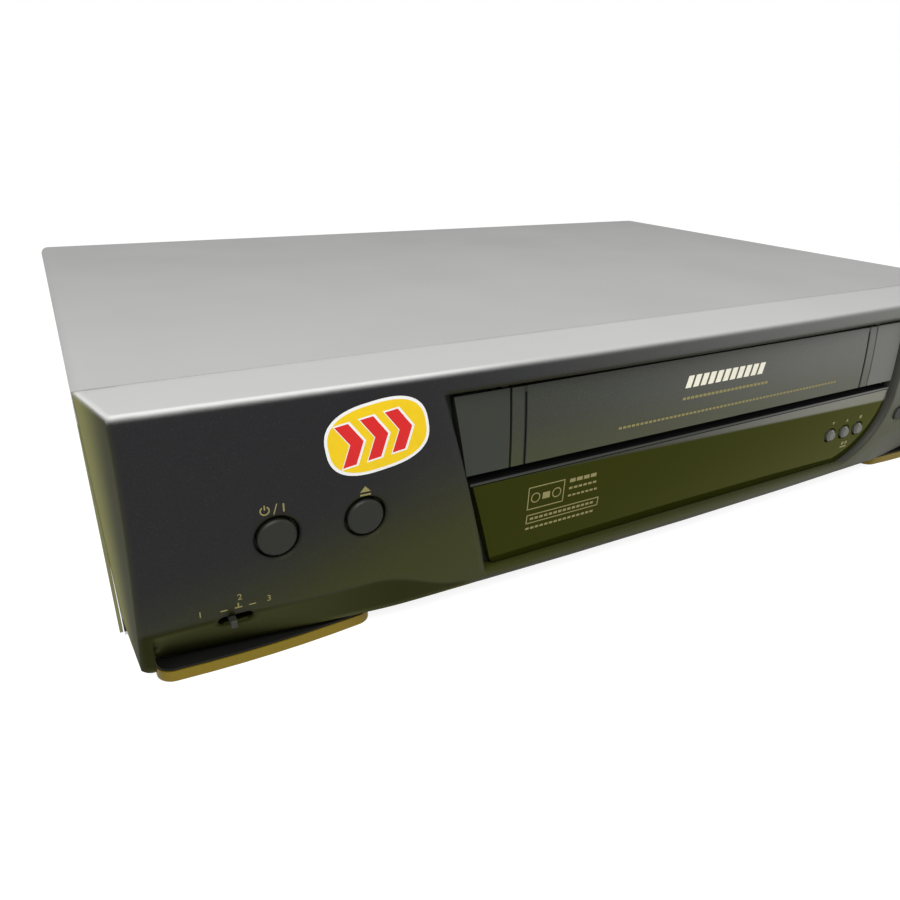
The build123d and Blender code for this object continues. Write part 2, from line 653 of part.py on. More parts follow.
def make_front_board():
    """Board behind the face: tall at both ends, low under the cassette slot."""
    low_z, high_z = sill_z - 2.5, case_height - board_top_drop
    x0, x1 = flap_x0 - board_door_gap[0], flap_x1 + board_door_gap[1]
    inner = half_w - board_end_gap
    outline = [(-inner, tray_top_z + 3), (inner, tray_top_z + 3), (inner, high_z), (x1, high_z),
               (x1, low_z), (x0, low_z), (x0, high_z), (-inner, high_z)]
    return prism_y(outline, front_board_y, front_board_y + board_t)


def button_centres():
    small = [(x, small_button_z) for x in small_button_x]
    return [button_power_xz, button_eject_xz] + small + key_places()


def make_switches():
    """Tact switches on the front board, and the body of the slide switch."""
    w, d = switch_size
    y1 = front_board_y
    pieces = []
    for x, z in button_centres():
        pieces.append(block(x - w / 2, x + w / 2, y1 - d, y1, z - w / 2, z + w / 2)
                      + rod_y(x, z, y1 - d - plunger_len, y1 - d, plunger_r))
    x, z = selector_xz
    half = selector_slot_w / 2 + 4.5
    slide = block(x - half, x + half, y1 - 6.2, y1, z - 3.6, z + 3.6)
    slide -= block(x - half + 1, x + half - 1, y1 - 6.2 - 1, y1 - 3.4, z - 2.5, z + 2.5)
    pieces.append(slide)
    return pieces


def make_display():
    """Flat glass display tube standing on the front board behind the window."""
    x0, x1 = cassette_x - display_w / 2, cassette_x + display_w / 2
    y1 = front_board_y
    tube = block(x0, x1, y1 - display_d, y1, display_z - display_h / 2, display_z + display_h / 2)
    tube = chamfer(tube.edges().group_by(Axis.Y)[0], 0.8)
    return tube + rod_x(y1 - display_d / 2, display_z, x1, x1 + 3, 1.5)


# ---------------------------------------------------------------- sheet metal
def make_cover():
    """Folded sheet: flat top, two long bends, two sides and a lip at the back."""
    foot = tray_top_z + 0.2
    outer = [(-half_w, foot), (half_w, foot), (half_w, case_height), (-half_w, case_height)]
    inner = [(-half_w + sheet, foot - 1), (half_w - sheet, foot - 1), (half_w - sheet, cover_inner_z),
             (-half_w + sheet, cover_inner_z)]
    skin = prism_y(outer, cover_front_y, cover_back_y)
    skin = fillet(skin.edges().filter_by(Axis.Y).group_by(Axis.Z)[-1], sheet_bend_r)
    hollow = prism_y(inner, cover_front_y - 1, cover_back_y + 1)
    hollow = fillet(hollow.edges().filter_by(Axis.Y).group_by(Axis.Z)[-1], sheet_bend_r - sheet)
    lip_y = rear_face_y + seat_gap
    lip = block(-half_w + 6, half_w - 6, lip_y, lip_y + sheet, cover_inner_z - cover_lip_h, case_height - 0.2)
    cover = skin - hollow + lip
    for x in cover_screw_places():
        cover -= rod_y(x, cover_screw_z, lip_y - 1, lip_y + sheet + 1, panel_screw_r + 0.2)
    return cover


def cover_screw_places():
    step = (case_width - 60) / 3
    return [-1.5 * step + i * step for i in range(4)]


def screw_y(x, z, y):
    """Pan-head screw driven forward into the rear panel, with a cross in its head."""
    shank = rod_y(x, z, y - 3.0, y, panel_screw_r)
    head = rod_y(x, z, y, y + 2.0, panel_screw_head_r)
    head = chamfer(head.edges().filter_by(GeomType.CIRCLE).sort_by(Axis.Y)[-1], 0.8)
    arm, half_slit = 2.0, 0.35
    cross = (block(x - arm, x + arm, y + 1.2, y + 3, z - half_slit, z + half_slit)
             + block(x - half_slit, x + half_slit, y + 1.2, y + 3, z - arm, z + arm))
    return shank + head - cross


def make_tray():
    """Steel tray: floor with vents and rails, and a flange up each side."""
    inner = half_w - sheet - 0.3
    y0, y1 = cover_front_y + 0.2, rear_face_y
    tray = block(-inner, inner, y0, y1, under_gap, tray_top_z)
    for side in (-1, 1):
        x0, x1 = sorted((side * inner, side * (inner - tray_t)))
        tray += block(x0, x1, y0 + panel_lip + 2, rear_panel_y - 0.2, under_gap, under_gap + tray_flange_h)
    # vents under the power supply and under the deck
    for x_mid, count in ((vent_in - half_w, 9), (cassette_x, 11)):
        for i in range(count):
            x = x_mid + (i - (count - 1) / 2) * vent_pitch
            tray -= block(x - vent_w / 2, x + vent_w / 2, *tray_vent_y, under_gap - 1, tray_top_z + 1)
    # standing bosses for the deck legs and the boards
    for x, y in deck_leg_places():
        tray += post(x, y, tray_top_z - 0.2, deck_under_z, deck_leg_r)
    for box in (power_board_box, main_board_box):
        for x in (box[0] + 6, box[1] - 6):
            for y in (box[2] + 6, box[3] - 6):
                tray += post(x, y, tray_top_z - 0.2, board_z, 3.0)
    return tray


def deck_leg_places():
    inset = 8.0
    x0, x1 = cassette_x - deck_half_w + inset, cassette_x + deck_half_w - inset
    return [(x, y) for x in (x0, x1) for y in (deck_front_y + inset, deck_back_y - inset)]


def rear_cutouts(grow=0.0):
    """Solids that mark the holes in the rear panel for the sockets."""
    y0, y1 = rear_panel_y - 1, rear_face_y + 1
    holes = [block(mains_x - mains_w / 2 - grow, mains_x + mains_w / 2 + grow, y0, y1,
                   mains_z - mains_h / 2 - grow, mains_z + mains_h / 2 + grow)]
    holes += [rod_y(x, aerial_z, y0, y1, aerial_r + grow) for x in aerial_x]
    holes += [rod_y(x, z, y0, y1, phono_r + grow) for x in phono_x for z in phono_z]
    return holes


def make_rear_panel():
    inner = half_w - sheet - 0.4
    panel = block(-inner, inner, rear_panel_y, rear_face_y, tray_top_z + 0.1, cover_inner_z - 0.2)
    panel = fillet(panel.edges().filter_by(Axis.Y).group_by(Axis.Z)[-1], sheet_bend_r)
    for hole in rear_cutouts(grow=socket_hole_gap):
        panel -= hole
    vent_z0, vent_z1 = case_height - rear_vent_drop[1], case_height - rear_vent_drop[0]
    for i in range(rear_vents):
        x0 = rear_vent_in - half_w + i * rear_vent_pitch - rear_vent_w / 2
        panel -= block(x0, x0 + rear_vent_w, rear_panel_y - 1, rear_face_y + 1, vent_z0, vent_z1)
    for x in cover_screw_places():
        panel -= rod_y(x, cover_screw_z, rear_panel_y - 1, rear_face_y + 1, panel_screw_r + 0.05)
    return panel


# ----------------------------------------------------------------------- feet
def foot_outline(inset):
    """Crescent seen from above: bowed front, round front corners, straight back."""
    x0, x1 = foot_inner_x + inset, foot_outer_x - inset
    y0, y1 = foot_front_y + inset, foot_back_y
    r = foot_end_r - inset
    side_y = y0 + foot_bow
    half_way = r * (1 - sin(radians(45)))
    front = ThreePointArc((x0 + r, side_y, 0), ((x0 + x1) / 2, y0, 0), (x1 - r, side_y, 0))
    right = ThreePointArc(front @ 1, (x1 - half_way, side_y + half_way, 0), (x1, side_y + r, 0))
    left = ThreePointArc((x0, side_y + r, 0), (x0 + half_way, side_y + half_way, 0), front @ 0)
    back = Polyline(right @ 1, (x1, y1, 0), (x0, y1, 0), left @ 0)
    return make_face([front, right, back, left])


def make_front_foot(side):
    """Black crescent under one end of the front, behind its coloured trim."""
    trim_top = foot_trim_h
    core = extrude(foot_outline(foot_trim_t + seat_gap), amount=trim_top + 0.2)
    lip = Pos(0, 0, trim_top + 0.1) * extrude(foot_outline(0.4), amount=foot_lip_h)
    step_y = foot_front_y + 8
    riser = block(foot_inner_x + 3, foot_outer_x - 3, step_y, foot_back_y, trim_top, under_gap)
    foot = core + lip + riser
    return foot if side > 0 else mirror(foot, Plane.YZ)


def make_foot_trim(side):
    """Thin coloured band round the front of one foot."""
    band = extrude(foot_outline(0), amount=foot_trim_h - 0.3)
    band -= extrude(foot_outline(foot_trim_t), amount=foot_trim_h)
    band = Pos(0, 0, 0.3) * (band - block(0, half_w, foot_back_y - 8, foot_back_y + 5, -1, foot_trim_h + 1))
    return band if side > 0 else mirror(band, Plane.YZ)


def make_rear_foot(side):
    """Round foot that widens a little towards the tray."""
    x, y = rear_foot_xy
    return Pos(side * x, y, under_gap / 2) * Cone(rear_foot_r - 1, rear_foot_r, under_gap)


# ------------------------------------------------------------------ tape deck
def slot_between(x0, y0, x1, y1, z0, z1, w):
    """Round-ended slot from one point to another, seen from above."""
    length, angle = hypot(x1 - x0, y1 - y0), degrees(atan2(y1 - y0, x1 - x0))
    face = Pos((x0 + x1) / 2, (y0 + y1) / 2, z0) * Rot(0, 0, angle) * SlotCenterToCenter(length, w)
    return extrude(face, amount=z1 - z0, dir=(0, 0, 1))


def post_places(side):
    """Rest and loaded place of one loading post."""
    return [(cassette_x + side * x, y) for x, y in (post_start, post_end)]


def make_deck_plate():
    x0, x1 = cassette_x - deck_half_w, cassette_x + deck_half_w
    plate = block(x0, x1, deck_front_y, deck_back_y, deck_under_z, deck_z)
    for side in (-1, 1):
        (sx, sy), (ex, ey) = post_places(side)
        plate -= slot_between(sx, sy, ex, ey, deck_under_z - 1, deck_z + 1, shoe_slot_w + 0.4)
    bx, by = capstan_xy
    plate -= post(bx, by, deck_under_z - 1, deck_z + 1, capstan_bearing_r + 0.1)
    for x, y, r in ((cassette_x, idler_pivot_y, capstan_r), (cam_xy[0], cam_xy[1], 1.0)):
        plate -= post(x, y, deck_under_z - 1, deck_z + 1, r + shaft_clearance)
    for side in (-1, 1):
        spindle_x = cassette_x + side * reel_pitch / 2
        plate += post(spindle_x, reel_y, deck_z - 0.2, deck_z + 1.5, 4.0)
        plate += post(spindle_x, reel_y, deck_z, reel_spindle_top - 6, 1.5)
    cam_bore = post(*cam_xy, deck_z - 1, deck_z + 2, 1.0 + shaft_clearance)
    plate += post(*cam_xy, deck_z - 0.2, deck_z + 0.8, 4.0) - cam_bore
    plate += post(*pinch_pivot_xy, deck_z - 0.2, roller_z0 + roller_h - 4, 2.0)
    plate += post(*pinch_pivot_xy, deck_z - 0.2, roller_z0 - 3.6, 3.5)
    plate += post(*tension_pivot_xy, deck_z - 0.2, deck_z + 8, 1.5)
    plate += post(*tension_pivot_xy, deck_z - 0.2, deck_z + 2, 3.0)
    for x, y in deck_leg_places():
        plate -= post(x, y, deck_under_z - 1, deck_z + 1, deck_screw_r + 0.3)
    return plate


def make_deck_screws():
    """One screw in each leg of the deck."""
    screws = []
    for x, y in deck_leg_places():
        z = deck_z + seat_gap
        head = post(x, y, z, z + 2.0, 3.0) - block(x - 2, x + 2, y - 0.4, y + 0.4, z + 1.2, z + 3)
        screws.append(head + post(x, y, deck_under_z + seat_gap, z, deck_screw_r))
    return screws


def drum_place():
    return Location((cassette_x, drum_y, drum_foot_z + drum_base_h), (0, drum_lean, 0))


def make_drum_base():
    """Fixed lower drum with its tape ledge, standing on three pillars."""
    base = Cylinder(drum_r, drum_base_h - 4, align=(Align.CENTER, Align.CENTER, Align.MAX))
    ledge = Pos(0, 0, 4.5 - drum_base_h) * Cylinder(drum_r + 0.8, 3)
    bore = Pos(0, 0, -6) * Cylinder(3.0 + shaft_clearance, 12, align=(Align.CENTER, Align.CENTER, Align.MIN))
    base = drum_place() * (base + ledge - bore)
    for angle in (90, 210, 330):
        x, y = cassette_x + 22 * cos(radians(angle)), drum_y + 22 * sin(radians(angle))
        base += post(x, y, deck_z, drum_foot_z + 8, 4.0)
    return base


def make_drum_top():
    """Spinning head drum: a grooved ring with a hub, three oil holes and a shaft."""
    drum = Pos(0, 0, drum_gap) * Cylinder(drum_r, drum_top_h, align=(Align.CENTER, Align.CENTER, Align.MIN))
    drum = chamfer(drum.edges().filter_by(GeomType.CIRCLE).sort_by(Axis.Z)[-1], 0.8)
    dish = Pos(0, 0, drum_gap + drum_top_h - 2) * (Cylinder(drum_r - 5, 6) - Cylinder(9, 6))
    groove = Pos(0, 0, drum_gap + drum_groove_z) * (Cylinder(drum_r + 1, 0.6) - Cylinder(drum_r - 0.4, 0.6))
    shaft = Pos(0, 0, -4) * Cylinder(3.0, 8, align=(Align.CENTER, Align.CENTER, Align.MIN))
    windows = [Pos(0, 0, drum_gap) * Rot(0, 0, a) * Pos(drum_r - 1, 0, 0) * Box(3, 3, 2.4) for a in (0, 180)]
    drum = drum - dish - groove
    for angle in (30, 150, 270):
        drum -= Rot(0, 0, angle) * Pos(18, 0, drum_top_h / 2 + 4) * Cylinder(2.5, drum_top_h + 2)
    for window in windows:
        drum -= window
    return drum_place() * (drum + shaft)


def make_capstan_motor():
    """Stator plate under the deck, cut away for the loading post, with the capstan's sleeve."""
    x, y = capstan_xy
    edge = rotor_r + stator_margin
    plate = block(x - edge, x + rotor_r, y - edge, y + edge, stator_z, stator_z + stator_t)
    sleeve = post(x, y, stator_z, deck_z + 8, capstan_bearing_r)
    coils = [post(x + 17 * cos(radians(a)), y + 17 * sin(radians(a)), stator_z - 1.8, stator_z, 5.5)
             for a in range(0, 360, 60)]
    body = plate + sleeve
    for coil in coils:
        body += coil
    body -= post(x, y, stator_z - 3, deck_z + 10, capstan_r + shaft_clearance)
    (x0, y0), (x1, y1) = post_places(1)
    return body - slot_between(x0, y0, x1, y1, stator_z - 1, deck_under_z, 2 * keel_collar_r + 1.0)


def make_capstan():
    """Capstan shaft with its rotor and belt pulley."""
    x, y = capstan_xy
    rotor = post(x, y, rotor_z, rotor_z + rotor_t, rotor_r)
    rotor = chamfer(rotor.edges().filter_by(GeomType.CIRCLE), 0.8)
    pulley = post(x, y, rotor_z, belt_z + belt_h / 2 + 0.6, belt_pulley_r + 0.8)
    groove = post(x, y, belt_z - belt_h / 2 - 0.1, belt_z + belt_h / 2 + 0.1, belt_pulley_r + 2) - post(
        x, y, 0, 40, belt_pulley_r)
    return rotor + pulley - groove + post(x, y, rotor_z, capstan_top, capstan_r)


def make_centre_pulley():
    """Belt pulley under the deck, its shaft and the friction hub above."""
    x, y = cassette_x, idler_pivot_y
    wheel = post(x, y, belt_z - belt_h / 2 - 0.7, belt_z + belt_h / 2 + 0.7, centre_pulley_r + 0.8)
    groove = post(x, y, belt_z - belt_h / 2 - 0.1, belt_z + belt_h / 2 + 0.1, centre_pulley_r + 2) - post(
        x, y, 0, 40, centre_pulley_r)
    shaft = post(x, y, belt_z, deck_z + reel_lift + reel_rim_t, capstan_r)
    hub = post(x, y, deck_z + reel_lift, deck_z + reel_lift + reel_rim_t, idler_hub_r)
    return wheel - groove + shaft + hub


def make_belt():
    """Flat belt round the capstan's pulley and the centre pulley."""
    cx, cy = capstan_xy
    z = belt_z - belt_h / 2 + 0.15

    def loop(grow):
        small = Pos(cx, cy, z) * Circle(belt_pulley_r + grow)
        large = Pos(cassette_x, idler_pivot_y, z) * Circle(centre_pulley_r + grow)
        return extrude(make_hull(small.edges() + large.edges()), amount=belt_h - 0.3, dir=(0, 0, 1))
    return loop(belt_gap + belt_t) - loop(belt_gap)


def make_idler_arm():
    """Arm that swings the idler from one reel to the other."""
    x, y = cassette_x, idler_pivot_y
    z0, z1 = deck_z + 0.4, deck_z + 1.6
    far_y = y - idler_hub_r - idler_r - 0.2
    arm = slot_between(x, y, x, far_y, z0, z1, 8.0)
    arm += post(x, far_y, z0, deck_z + reel_lift + reel_rim_t + 1.0, 1.2)
    return arm - post(x, y, z0 - 1, z1 + 1, capstan_r + shaft_clearance)


def make_idler_wheel():
    x, far_y = cassette_x, idler_pivot_y - idler_hub_r - idler_r - 0.2
    z0, z1 = deck_z + reel_lift, deck_z + reel_lift + reel_rim_t
    tyre = post(x, far_y, z0, z1, idler_r)
    waist = post(x, far_y, z1 - 0.8, z1 + 1, idler_r - 2.5) - post(x, far_y, z1 - 2, z1 + 2, 3.5)
    return tyre - waist - post(x, far_y, z0 - 1, z1 + 1, 1.2 + shaft_clearance)


def make_reel(side):
    """Reel table: rim, body and a splined spindle that carries the cassette's hub."""
    x = cassette_x + side * reel_pitch / 2
    z0 = deck_z + reel_lift
    reel = post(x, reel_y, z0, z0 + reel_rim_t, reel_rim_r)
    reel = chamfer(reel.edges().filter_by(GeomType.CIRCLE).sort_by(Axis.Z)[-1], 0.5)
    reel += post(x, reel_y, z0 + reel_rim_t - 0.2, z0 + reel_rim_t + 2.5, 12.0)
    reel += post(x, reel_y, z0 + reel_rim_t, reel_spindle_top - 3, reel_spindle_r)
    reel += Pos(x, reel_y, reel_spindle_top - 1.5) * Cone(reel_spindle_r, 2.2, 3)
    for a in (30, 150, 270):
        fin = Rot(0, 0, a) * Pos(reel_spindle_r, 0, 0) * Box(2.4, 1.2, 8)
        reel += Pos(x, reel_y, reel_spindle_top - 9) * fin
    bore = post(x, reel_y, z0 - 1, reel_spindle_top - 5.5, 1.5 + shaft_clearance)
    return reel - bore


def tooth_wheel(teeth, z0, z1, phase, bore_r):
    """Spur wheel about Z with straight-flanked teeth and a little backlash."""
    pitch_r = gear_module * teeth / 2
    root_r, tip_r = pitch_r - 1.2 * gear_module, pitch_r + 0.9 * gear_module
    root_half, tip_half = 0.62 * gear_module, 0.30 * gear_module
    profile = [(root_r - 0.5, -root_half - 0.1), (root_r - 0.5, root_half + 0.1),
               (tip_r, tip_half), (tip_r, -tip_half)]
    tooth = Rot(0, 0, phase) * make_face(Polyline([(px, py, 0) for px, py in profile], close=True))
    disc = Circle(root_r)
    outline = disc + [Rot(0, 0, i * 360 / teeth) * tooth for i in range(teeth)]
    wheel = extrude(Pos(0, 0, z0) * outline, amount=z1 - z0, dir=(0, 0, 1))
    return wheel - Pos(0, 0, (z0 + z1) / 2) * Cylinder(bore_r, z1 - z0 + 2) if bore_r else wheel


def pinion_place():
    reach = gear_module * (cam_teeth + pinion_teeth) / 2 + 0.1
    return (cam_xy[0] + reach * cos(radians(pinion_dir)), cam_xy[1] + reach * sin(radians(pinion_dir)))


def make_cam_gear():
    """Mode gear: toothed rim, cam track in its top and a shaft in the deck."""
    z0, z1 = deck_z + 1.0, deck_z + 1.0 + gear_t
    wheel = tooth_wheel(cam_teeth, z0, z1, pinion_dir, 0)
    track = Pos(3, 0, z1 - 1.2) * (Cylinder(15, 4, align=(Align.CENTER, Align.CENTER, Align.MIN))
                                   - Cylinder(12, 4, align=(Align.CENTER, Align.CENTER, Align.MIN)))
    hub = Cylinder(5, gear_t + 3, align=(Align.CENTER, Align.CENTER, Align.MIN))
    gear = wheel - track + Pos(0, 0, z0) * hub
    gear = Pos(*cam_xy, 0) * gear
    return gear + post(*cam_xy, deck_under_z, z0 + 1, 1.0)


def make_loading_pinion():
    x, y = pinion_place()
    z0 = deck_z + 1.0
    half_tooth = 180 / pinion_teeth
    wheel = Pos(x, y, 0) * tooth_wheel(pinion_teeth, z0, z0 + gear_t + 1, pinion_dir + 180 + half_tooth, 0)
    return wheel + post(x, y, z0 + 1, z0 + gear_t + 9, 1.0)


def make_loading_motor():
    """Can motor hung over its pinion on a bridge with two legs."""
    x, y = pinion_place()
    z0 = deck_z + gear_t + 4.4
    can = post(x, y, z0, z0 + 24, 10.5)
    can = chamfer(can.edges().filter_by(GeomType.CIRCLE).sort_by(Axis.Z)[-1], 1.0)
    bridge = block(x - 12, x + 12, y - 7, y + 7, z0 - 1.2, z0)
    legs = block(x - 12, x - 10.8, y - 7, y + 7, deck_z, z0)
    legs += block(x + 10.8, x + 12, y - 7, y + 3, deck_z, z0)
    legs -= post(*cam_xy, deck_z - 1, z0 - 2.2, gear_module * cam_teeth / 2 + 2)
    return can + bridge + legs - post(x, y, z0 - 3, z0 + 6, 1.0 + shaft_clearance)


def make_loading_post(side):
    """Guide post with its flanges on a shoe that slides in the deck's slot."""
    (x, y), (end_x, end_y) = post_places(side)
    shoe = post(x, y, deck_z + 0.2, deck_z + 0.2 + shoe_t, shoe_r)
    keel = post(x, y, deck_under_z - 1.0, deck_z + 1, shoe_slot_w / 2)
    keel += post(x, y, deck_under_z - 1.6, deck_under_z - 0.3, keel_collar_r)
    sleeve = post(x, y, deck_z + 1, post_top, post_r) - (
        post(x, y, deck_z + 9, post_top - 3, post_r + 1) - post(x, y, deck_z, post_top, post_r - 0.6))
    return shoe + keel + sleeve


def roller_places():
    """Pinch roller's place at rest, swung back from where it meets the capstan."""
    cx, cy = capstan_xy
    px, py = pinch_pivot_xy
    gap = roller_r + capstan_r + roller_contact_gap
    tx, ty = cx + gap * cos(radians(pinch_meet_deg)), cy + gap * sin(radians(pinch_meet_deg))
    arm, angle = hypot(tx - px, ty - py), atan2(ty - py, tx - px) - radians(pinch_swing)
    return px + arm * cos(angle), py + arm * sin(angle)


def make_pinch_arm():
    """Lever on its pivot post with the pinch roller's axle standing up from it."""
    (rx, ry), (px, py) = roller_places(), pinch_pivot_xy
    z1 = roller_z0 - 0.6
    arm = slot_between(px, py, rx, ry, z1 - 2.4, z1, 7.0)
    arm += post(px, py, z1 - 2.4, z1 + 8, 3.6)
    arm += post(rx, ry, z1 - 1, roller_z0 + roller_h + 1.2, 1.4)
    arm += post(rx, ry, roller_z0 + roller_h + 0.4, roller_z0 + roller_h + 1.4, 2.6)
    return arm - post(px, py, z1 - 4, z1 + 10, 2.0 + shaft_clearance)


def make_pinch_roller():
    rx, ry = roller_places()
    roller = post(rx, ry, roller_z0, roller_z0 + roller_h, roller_r)
    roller = chamfer(roller.edges().filter_by(GeomType.CIRCLE), 0.6)
    return roller - post(rx, ry, roller_z0 - 1, roller_z0 + roller_h + 1, 1.4 + shaft_clearance)


def make_tension_arm():
    (px, py), (tx, ty) = tension_pivot_xy, tension_post_xy
    z0 = deck_z + 2.4
    arm = slot_between(px, py, tx, ty, z0 + 4, z0 + 5.6, 5.0)
    arm += post(px, py, z0, z0 + 5.6, 3.0)
    arm += post(tx, ty, z0 + 4, post_top, 1.6)
    return arm - post(px, py, z0 - 1, z0 + 8, 1.5 + shaft_clearance)


def make_head(x, y, w, d, face_r):
    """Fixed head: a case with a rounded face on a foot screwed to the deck."""
    foot = block(x - w / 2 - 1, x + w / 2 + 1, y - d / 2, y + d / 2, deck_z, deck_z + 2)
    neck = post(x, y, deck_z + 1, deck_z + 11, 2.2)
    case = block(x - w / 2, x + w / 2, y - d / 2, y + d / 2, deck_z + 10, deck_z + 27)
    return foot + neck + (case & post(x, y + face_r - d / 2, deck_z, deck_z + 40, face_r))


def make_carriage_frames():
    """Two side frames with their guide slots, and the bridge across the front."""
    pieces = []
    for side in (-1, 1):
        x0, x1 = sorted((cassette_x + side * frame_in_x, cassette_x + side * (frame_in_x + frame_t)))
        plate = prism_x([(carriage_front_y, deck_z + 24), (deck_front_y + 14, deck_z), (frame_back_y, deck_z),
                         (frame_back_y, frame_top_z - 16), (frame_back_y - 22, frame_top_z),
                         (carriage_front_y, frame_top_z)], x0, x1)
        slot = Rot(0, 90, 0) * Rot(0, 0, 90) * SlotCenterToCenter(load_travel, 2 * guide_pin_r + 0.3)
        for z in guide_heights():
            start = Pos(x0 - 1, guide_front_y + load_travel / 2, z) * slot
            plate -= extrude(start, amount=frame_t + 2, dir=(1, 0, 0))
        pieces.append(plate)
    bridge = block(cassette_x - frame_in_x - 0.2, cassette_x + frame_in_x + 0.2, carriage_front_y,
                   carriage_front_y + 12, frame_top_z - 1.4, frame_top_z)
    return pieces[0] + pieces[1] + bridge


def guide_heights():
    return (carriage_floor_z + 8.0, carriage_floor_z + 20.0)


def make_loading_rack():
    """Pair of sliding side plates, joined above the cassette by a cross bar."""
    rack = None
    slot_z = carriage_pin_z - guide_pin_r - drop_travel - 0.3
    for side in (-1, 1):
        x0, x1 = sorted((cassette_x + side * rack_in_x, cassette_x + side * rack_out_x))
        plate = block(x0, x1, guide_front_y - 8, guide_front_y + guide_spread + 8,
                      slot_z - rack_web, rack_bar_z)
        for y in carriage_pin_y():
            plate -= block(x0 - 1, x1 + 1, y - guide_pin_r - 0.1, y + guide_pin_r + 0.1,
                           slot_z, carriage_pin_z + guide_pin_r + 0.3)
        reaches = rack_in_x + 0.2, frame_in_x + frame_t
        pin_x0, pin_x1 = sorted(cassette_x + side * reach for reach in reaches)
        for z in guide_heights():
            plate += rod_x(guide_front_y, z, pin_x0, pin_x1, guide_pin_r)
        rack = plate if rack is None else rack + plate
    bar_y = guide_front_y + guide_spread - 8
    return rack + block(cassette_x - rack_out_x, cassette_x + rack_out_x, bar_y, bar_y + 14,
                        rack_bar_z - 1.2, rack_bar_z)


def carriage_pin_y():
    return (guide_front_y + 12.0, guide_front_y + guide_spread)


def make_carriage():
    """Cassette tray: top plate, side walls, two ledges, rear stops and guide pins."""
    x0, x1 = cassette_x - carriage_half_w, cassette_x + carriage_half_w
    y0, y1 = carriage_front_y, carriage_back_y
    top_z = carriage_floor_z + bay_h
    tray = block(x0, x1, y0, y1, top_z, top_z + carriage_sheet)
    tray -= block(cassette_x - 60, cassette_x + 60, y0 + 18, y1 - 18, top_z - 1, top_z + 3)
    for side in (-1, 1):
        wall_in, wall_out = cassette_x + side * bay_half_w, cassette_x + side * carriage_half_w
        a, b = sorted((wall_in, wall_out))
        tray += block(a, b, y0, y1, carriage_floor_z - carriage_sheet, top_z + carriage_sheet)
        c, d = sorted((wall_out, wall_in - side * carriage_ledge))
        tray += block(c, d, y0, y1, carriage_floor_z - carriage_sheet, carriage_floor_z)
        e, f = sorted((wall_out, wall_in - side * carriage_ledge / 2))
        tray += block(e, f, y1 - 1.5, y1, carriage_floor_z - carriage_sheet, carriage_floor_z + 10)
        pin0, pin1 = sorted((wall_out - side * 0.3, cassette_x + side * rack_out_x))
        for y in carriage_pin_y():
            tray += rod_x(y, carriage_pin_z, pin0, pin1, guide_pin_r - 0.05)
    return tray


# ----------------------------------------------------------- electrical pieces
def make_power_board():
    x0, x1, y0, y1 = power_board_box
    return block(x0, x1, y0, y1, board_z, board_top_z)


def make_main_board():
    x0, x1, y0, y1 = main_board_box
    board = block(x0, x1, y0, y1, board_z, board_top_z)
    for i in range(4):
        y = y0 + 30 + i * 34
        board += block(x0 + 14, x0 + 38, y, y + 14, board_top_z - 0.1, board_top_z + 3)
    return board


def make_transformer():
    """Laminated core with its bobbin and winding."""
    (x, y), (w, d, h) = transformer_xy, transformer_size
    core = block(x - w / 2, x + w / 2, y - 9, y + 9, board_top_z, board_top_z + h)
    core -= block(x - w / 2 + 9, x - 7, y - 10, y + 10, board_top_z + 8, board_top_z + h - 8)
    core -= block(x + 7, x + w / 2 - 9, y - 10, y + 10, board_top_z + 8, board_top_z + h - 8)
    winding = block(x - w / 2 + 9.5, x + w / 2 - 9.5, y - d / 2, y + d / 2,
                    board_top_z + 8.5, board_top_z + h - 8.5)
    winding = fillet(winding.edges().filter_by(Axis.Z), 6)
    return core + winding


def make_capacitors():
    """Row of electrolytic cans beside the transformer."""
    cans = []
    for i, (r, h) in enumerate(can_sizes):
        x = power_board_box[0] + can_first_in + i * can_pitch
        can = post(x, can_y, board_top_z, board_top_z + h, r)
        cans.append(chamfer(can.edges().filter_by(GeomType.CIRCLE).sort_by(Axis.Z)[-1], 0.8))
    return cans


def make_heat_sink():
    """Finned extrusion standing on the power board."""
    (x, y), (w, d, h) = sink_xy, sink_size
    sink = block(x - 1.5, x + 1.5, y - d / 2, y + d / 2, board_top_z, board_top_z + h)
    for i in range(sink_fins):
        fin_y = y - d / 2 + i * (d - sink_fin_t) / (sink_fins - 1)
        sink += block(x - w / 2, x + w / 2, fin_y, fin_y + sink_fin_t, board_top_z, board_top_z + h)
    return sink


def make_mains_inlet():
    """Two-pin figure-of-eight inlet for a loose mains lead."""
    y0, y1 = rear_panel_y - 16, rear_face_y + 1.0
    foot_y = y1 - mains_depth
    body = block(mains_x - mains_w / 2, mains_x + mains_w / 2, y0, y1,
                 mains_z - mains_h / 2, mains_z + mains_h / 2)
    cavity = Pos(mains_x, foot_y, mains_z) * Rot(90, 0, 0) * SlotOverall(mains_cavity_w, mains_cavity_h)
    body -= extrude(cavity, amount=mains_depth + 1, dir=(0, 1, 0))
    for side in (-1, 1):
        body += rod_y(mains_x + side * mains_pin_pitch / 2, mains_z, foot_y - 1, y1 - 2.5, mains_pin_r)
    legs = block(mains_x - 8, mains_x + 8, y0 + 2, y0 + 8, board_top_z, mains_z - mains_h / 2 + 1)
    return body + legs


def socket_barrel(x, z, y0, y1, r):
    """Socket's barrel through the rear panel, with a shoulder up to the panel's face."""
    return rod_y(x, z, y0, y1, r) + rod_y(x, z, y0, rear_face_y, r + socket_shoulder)


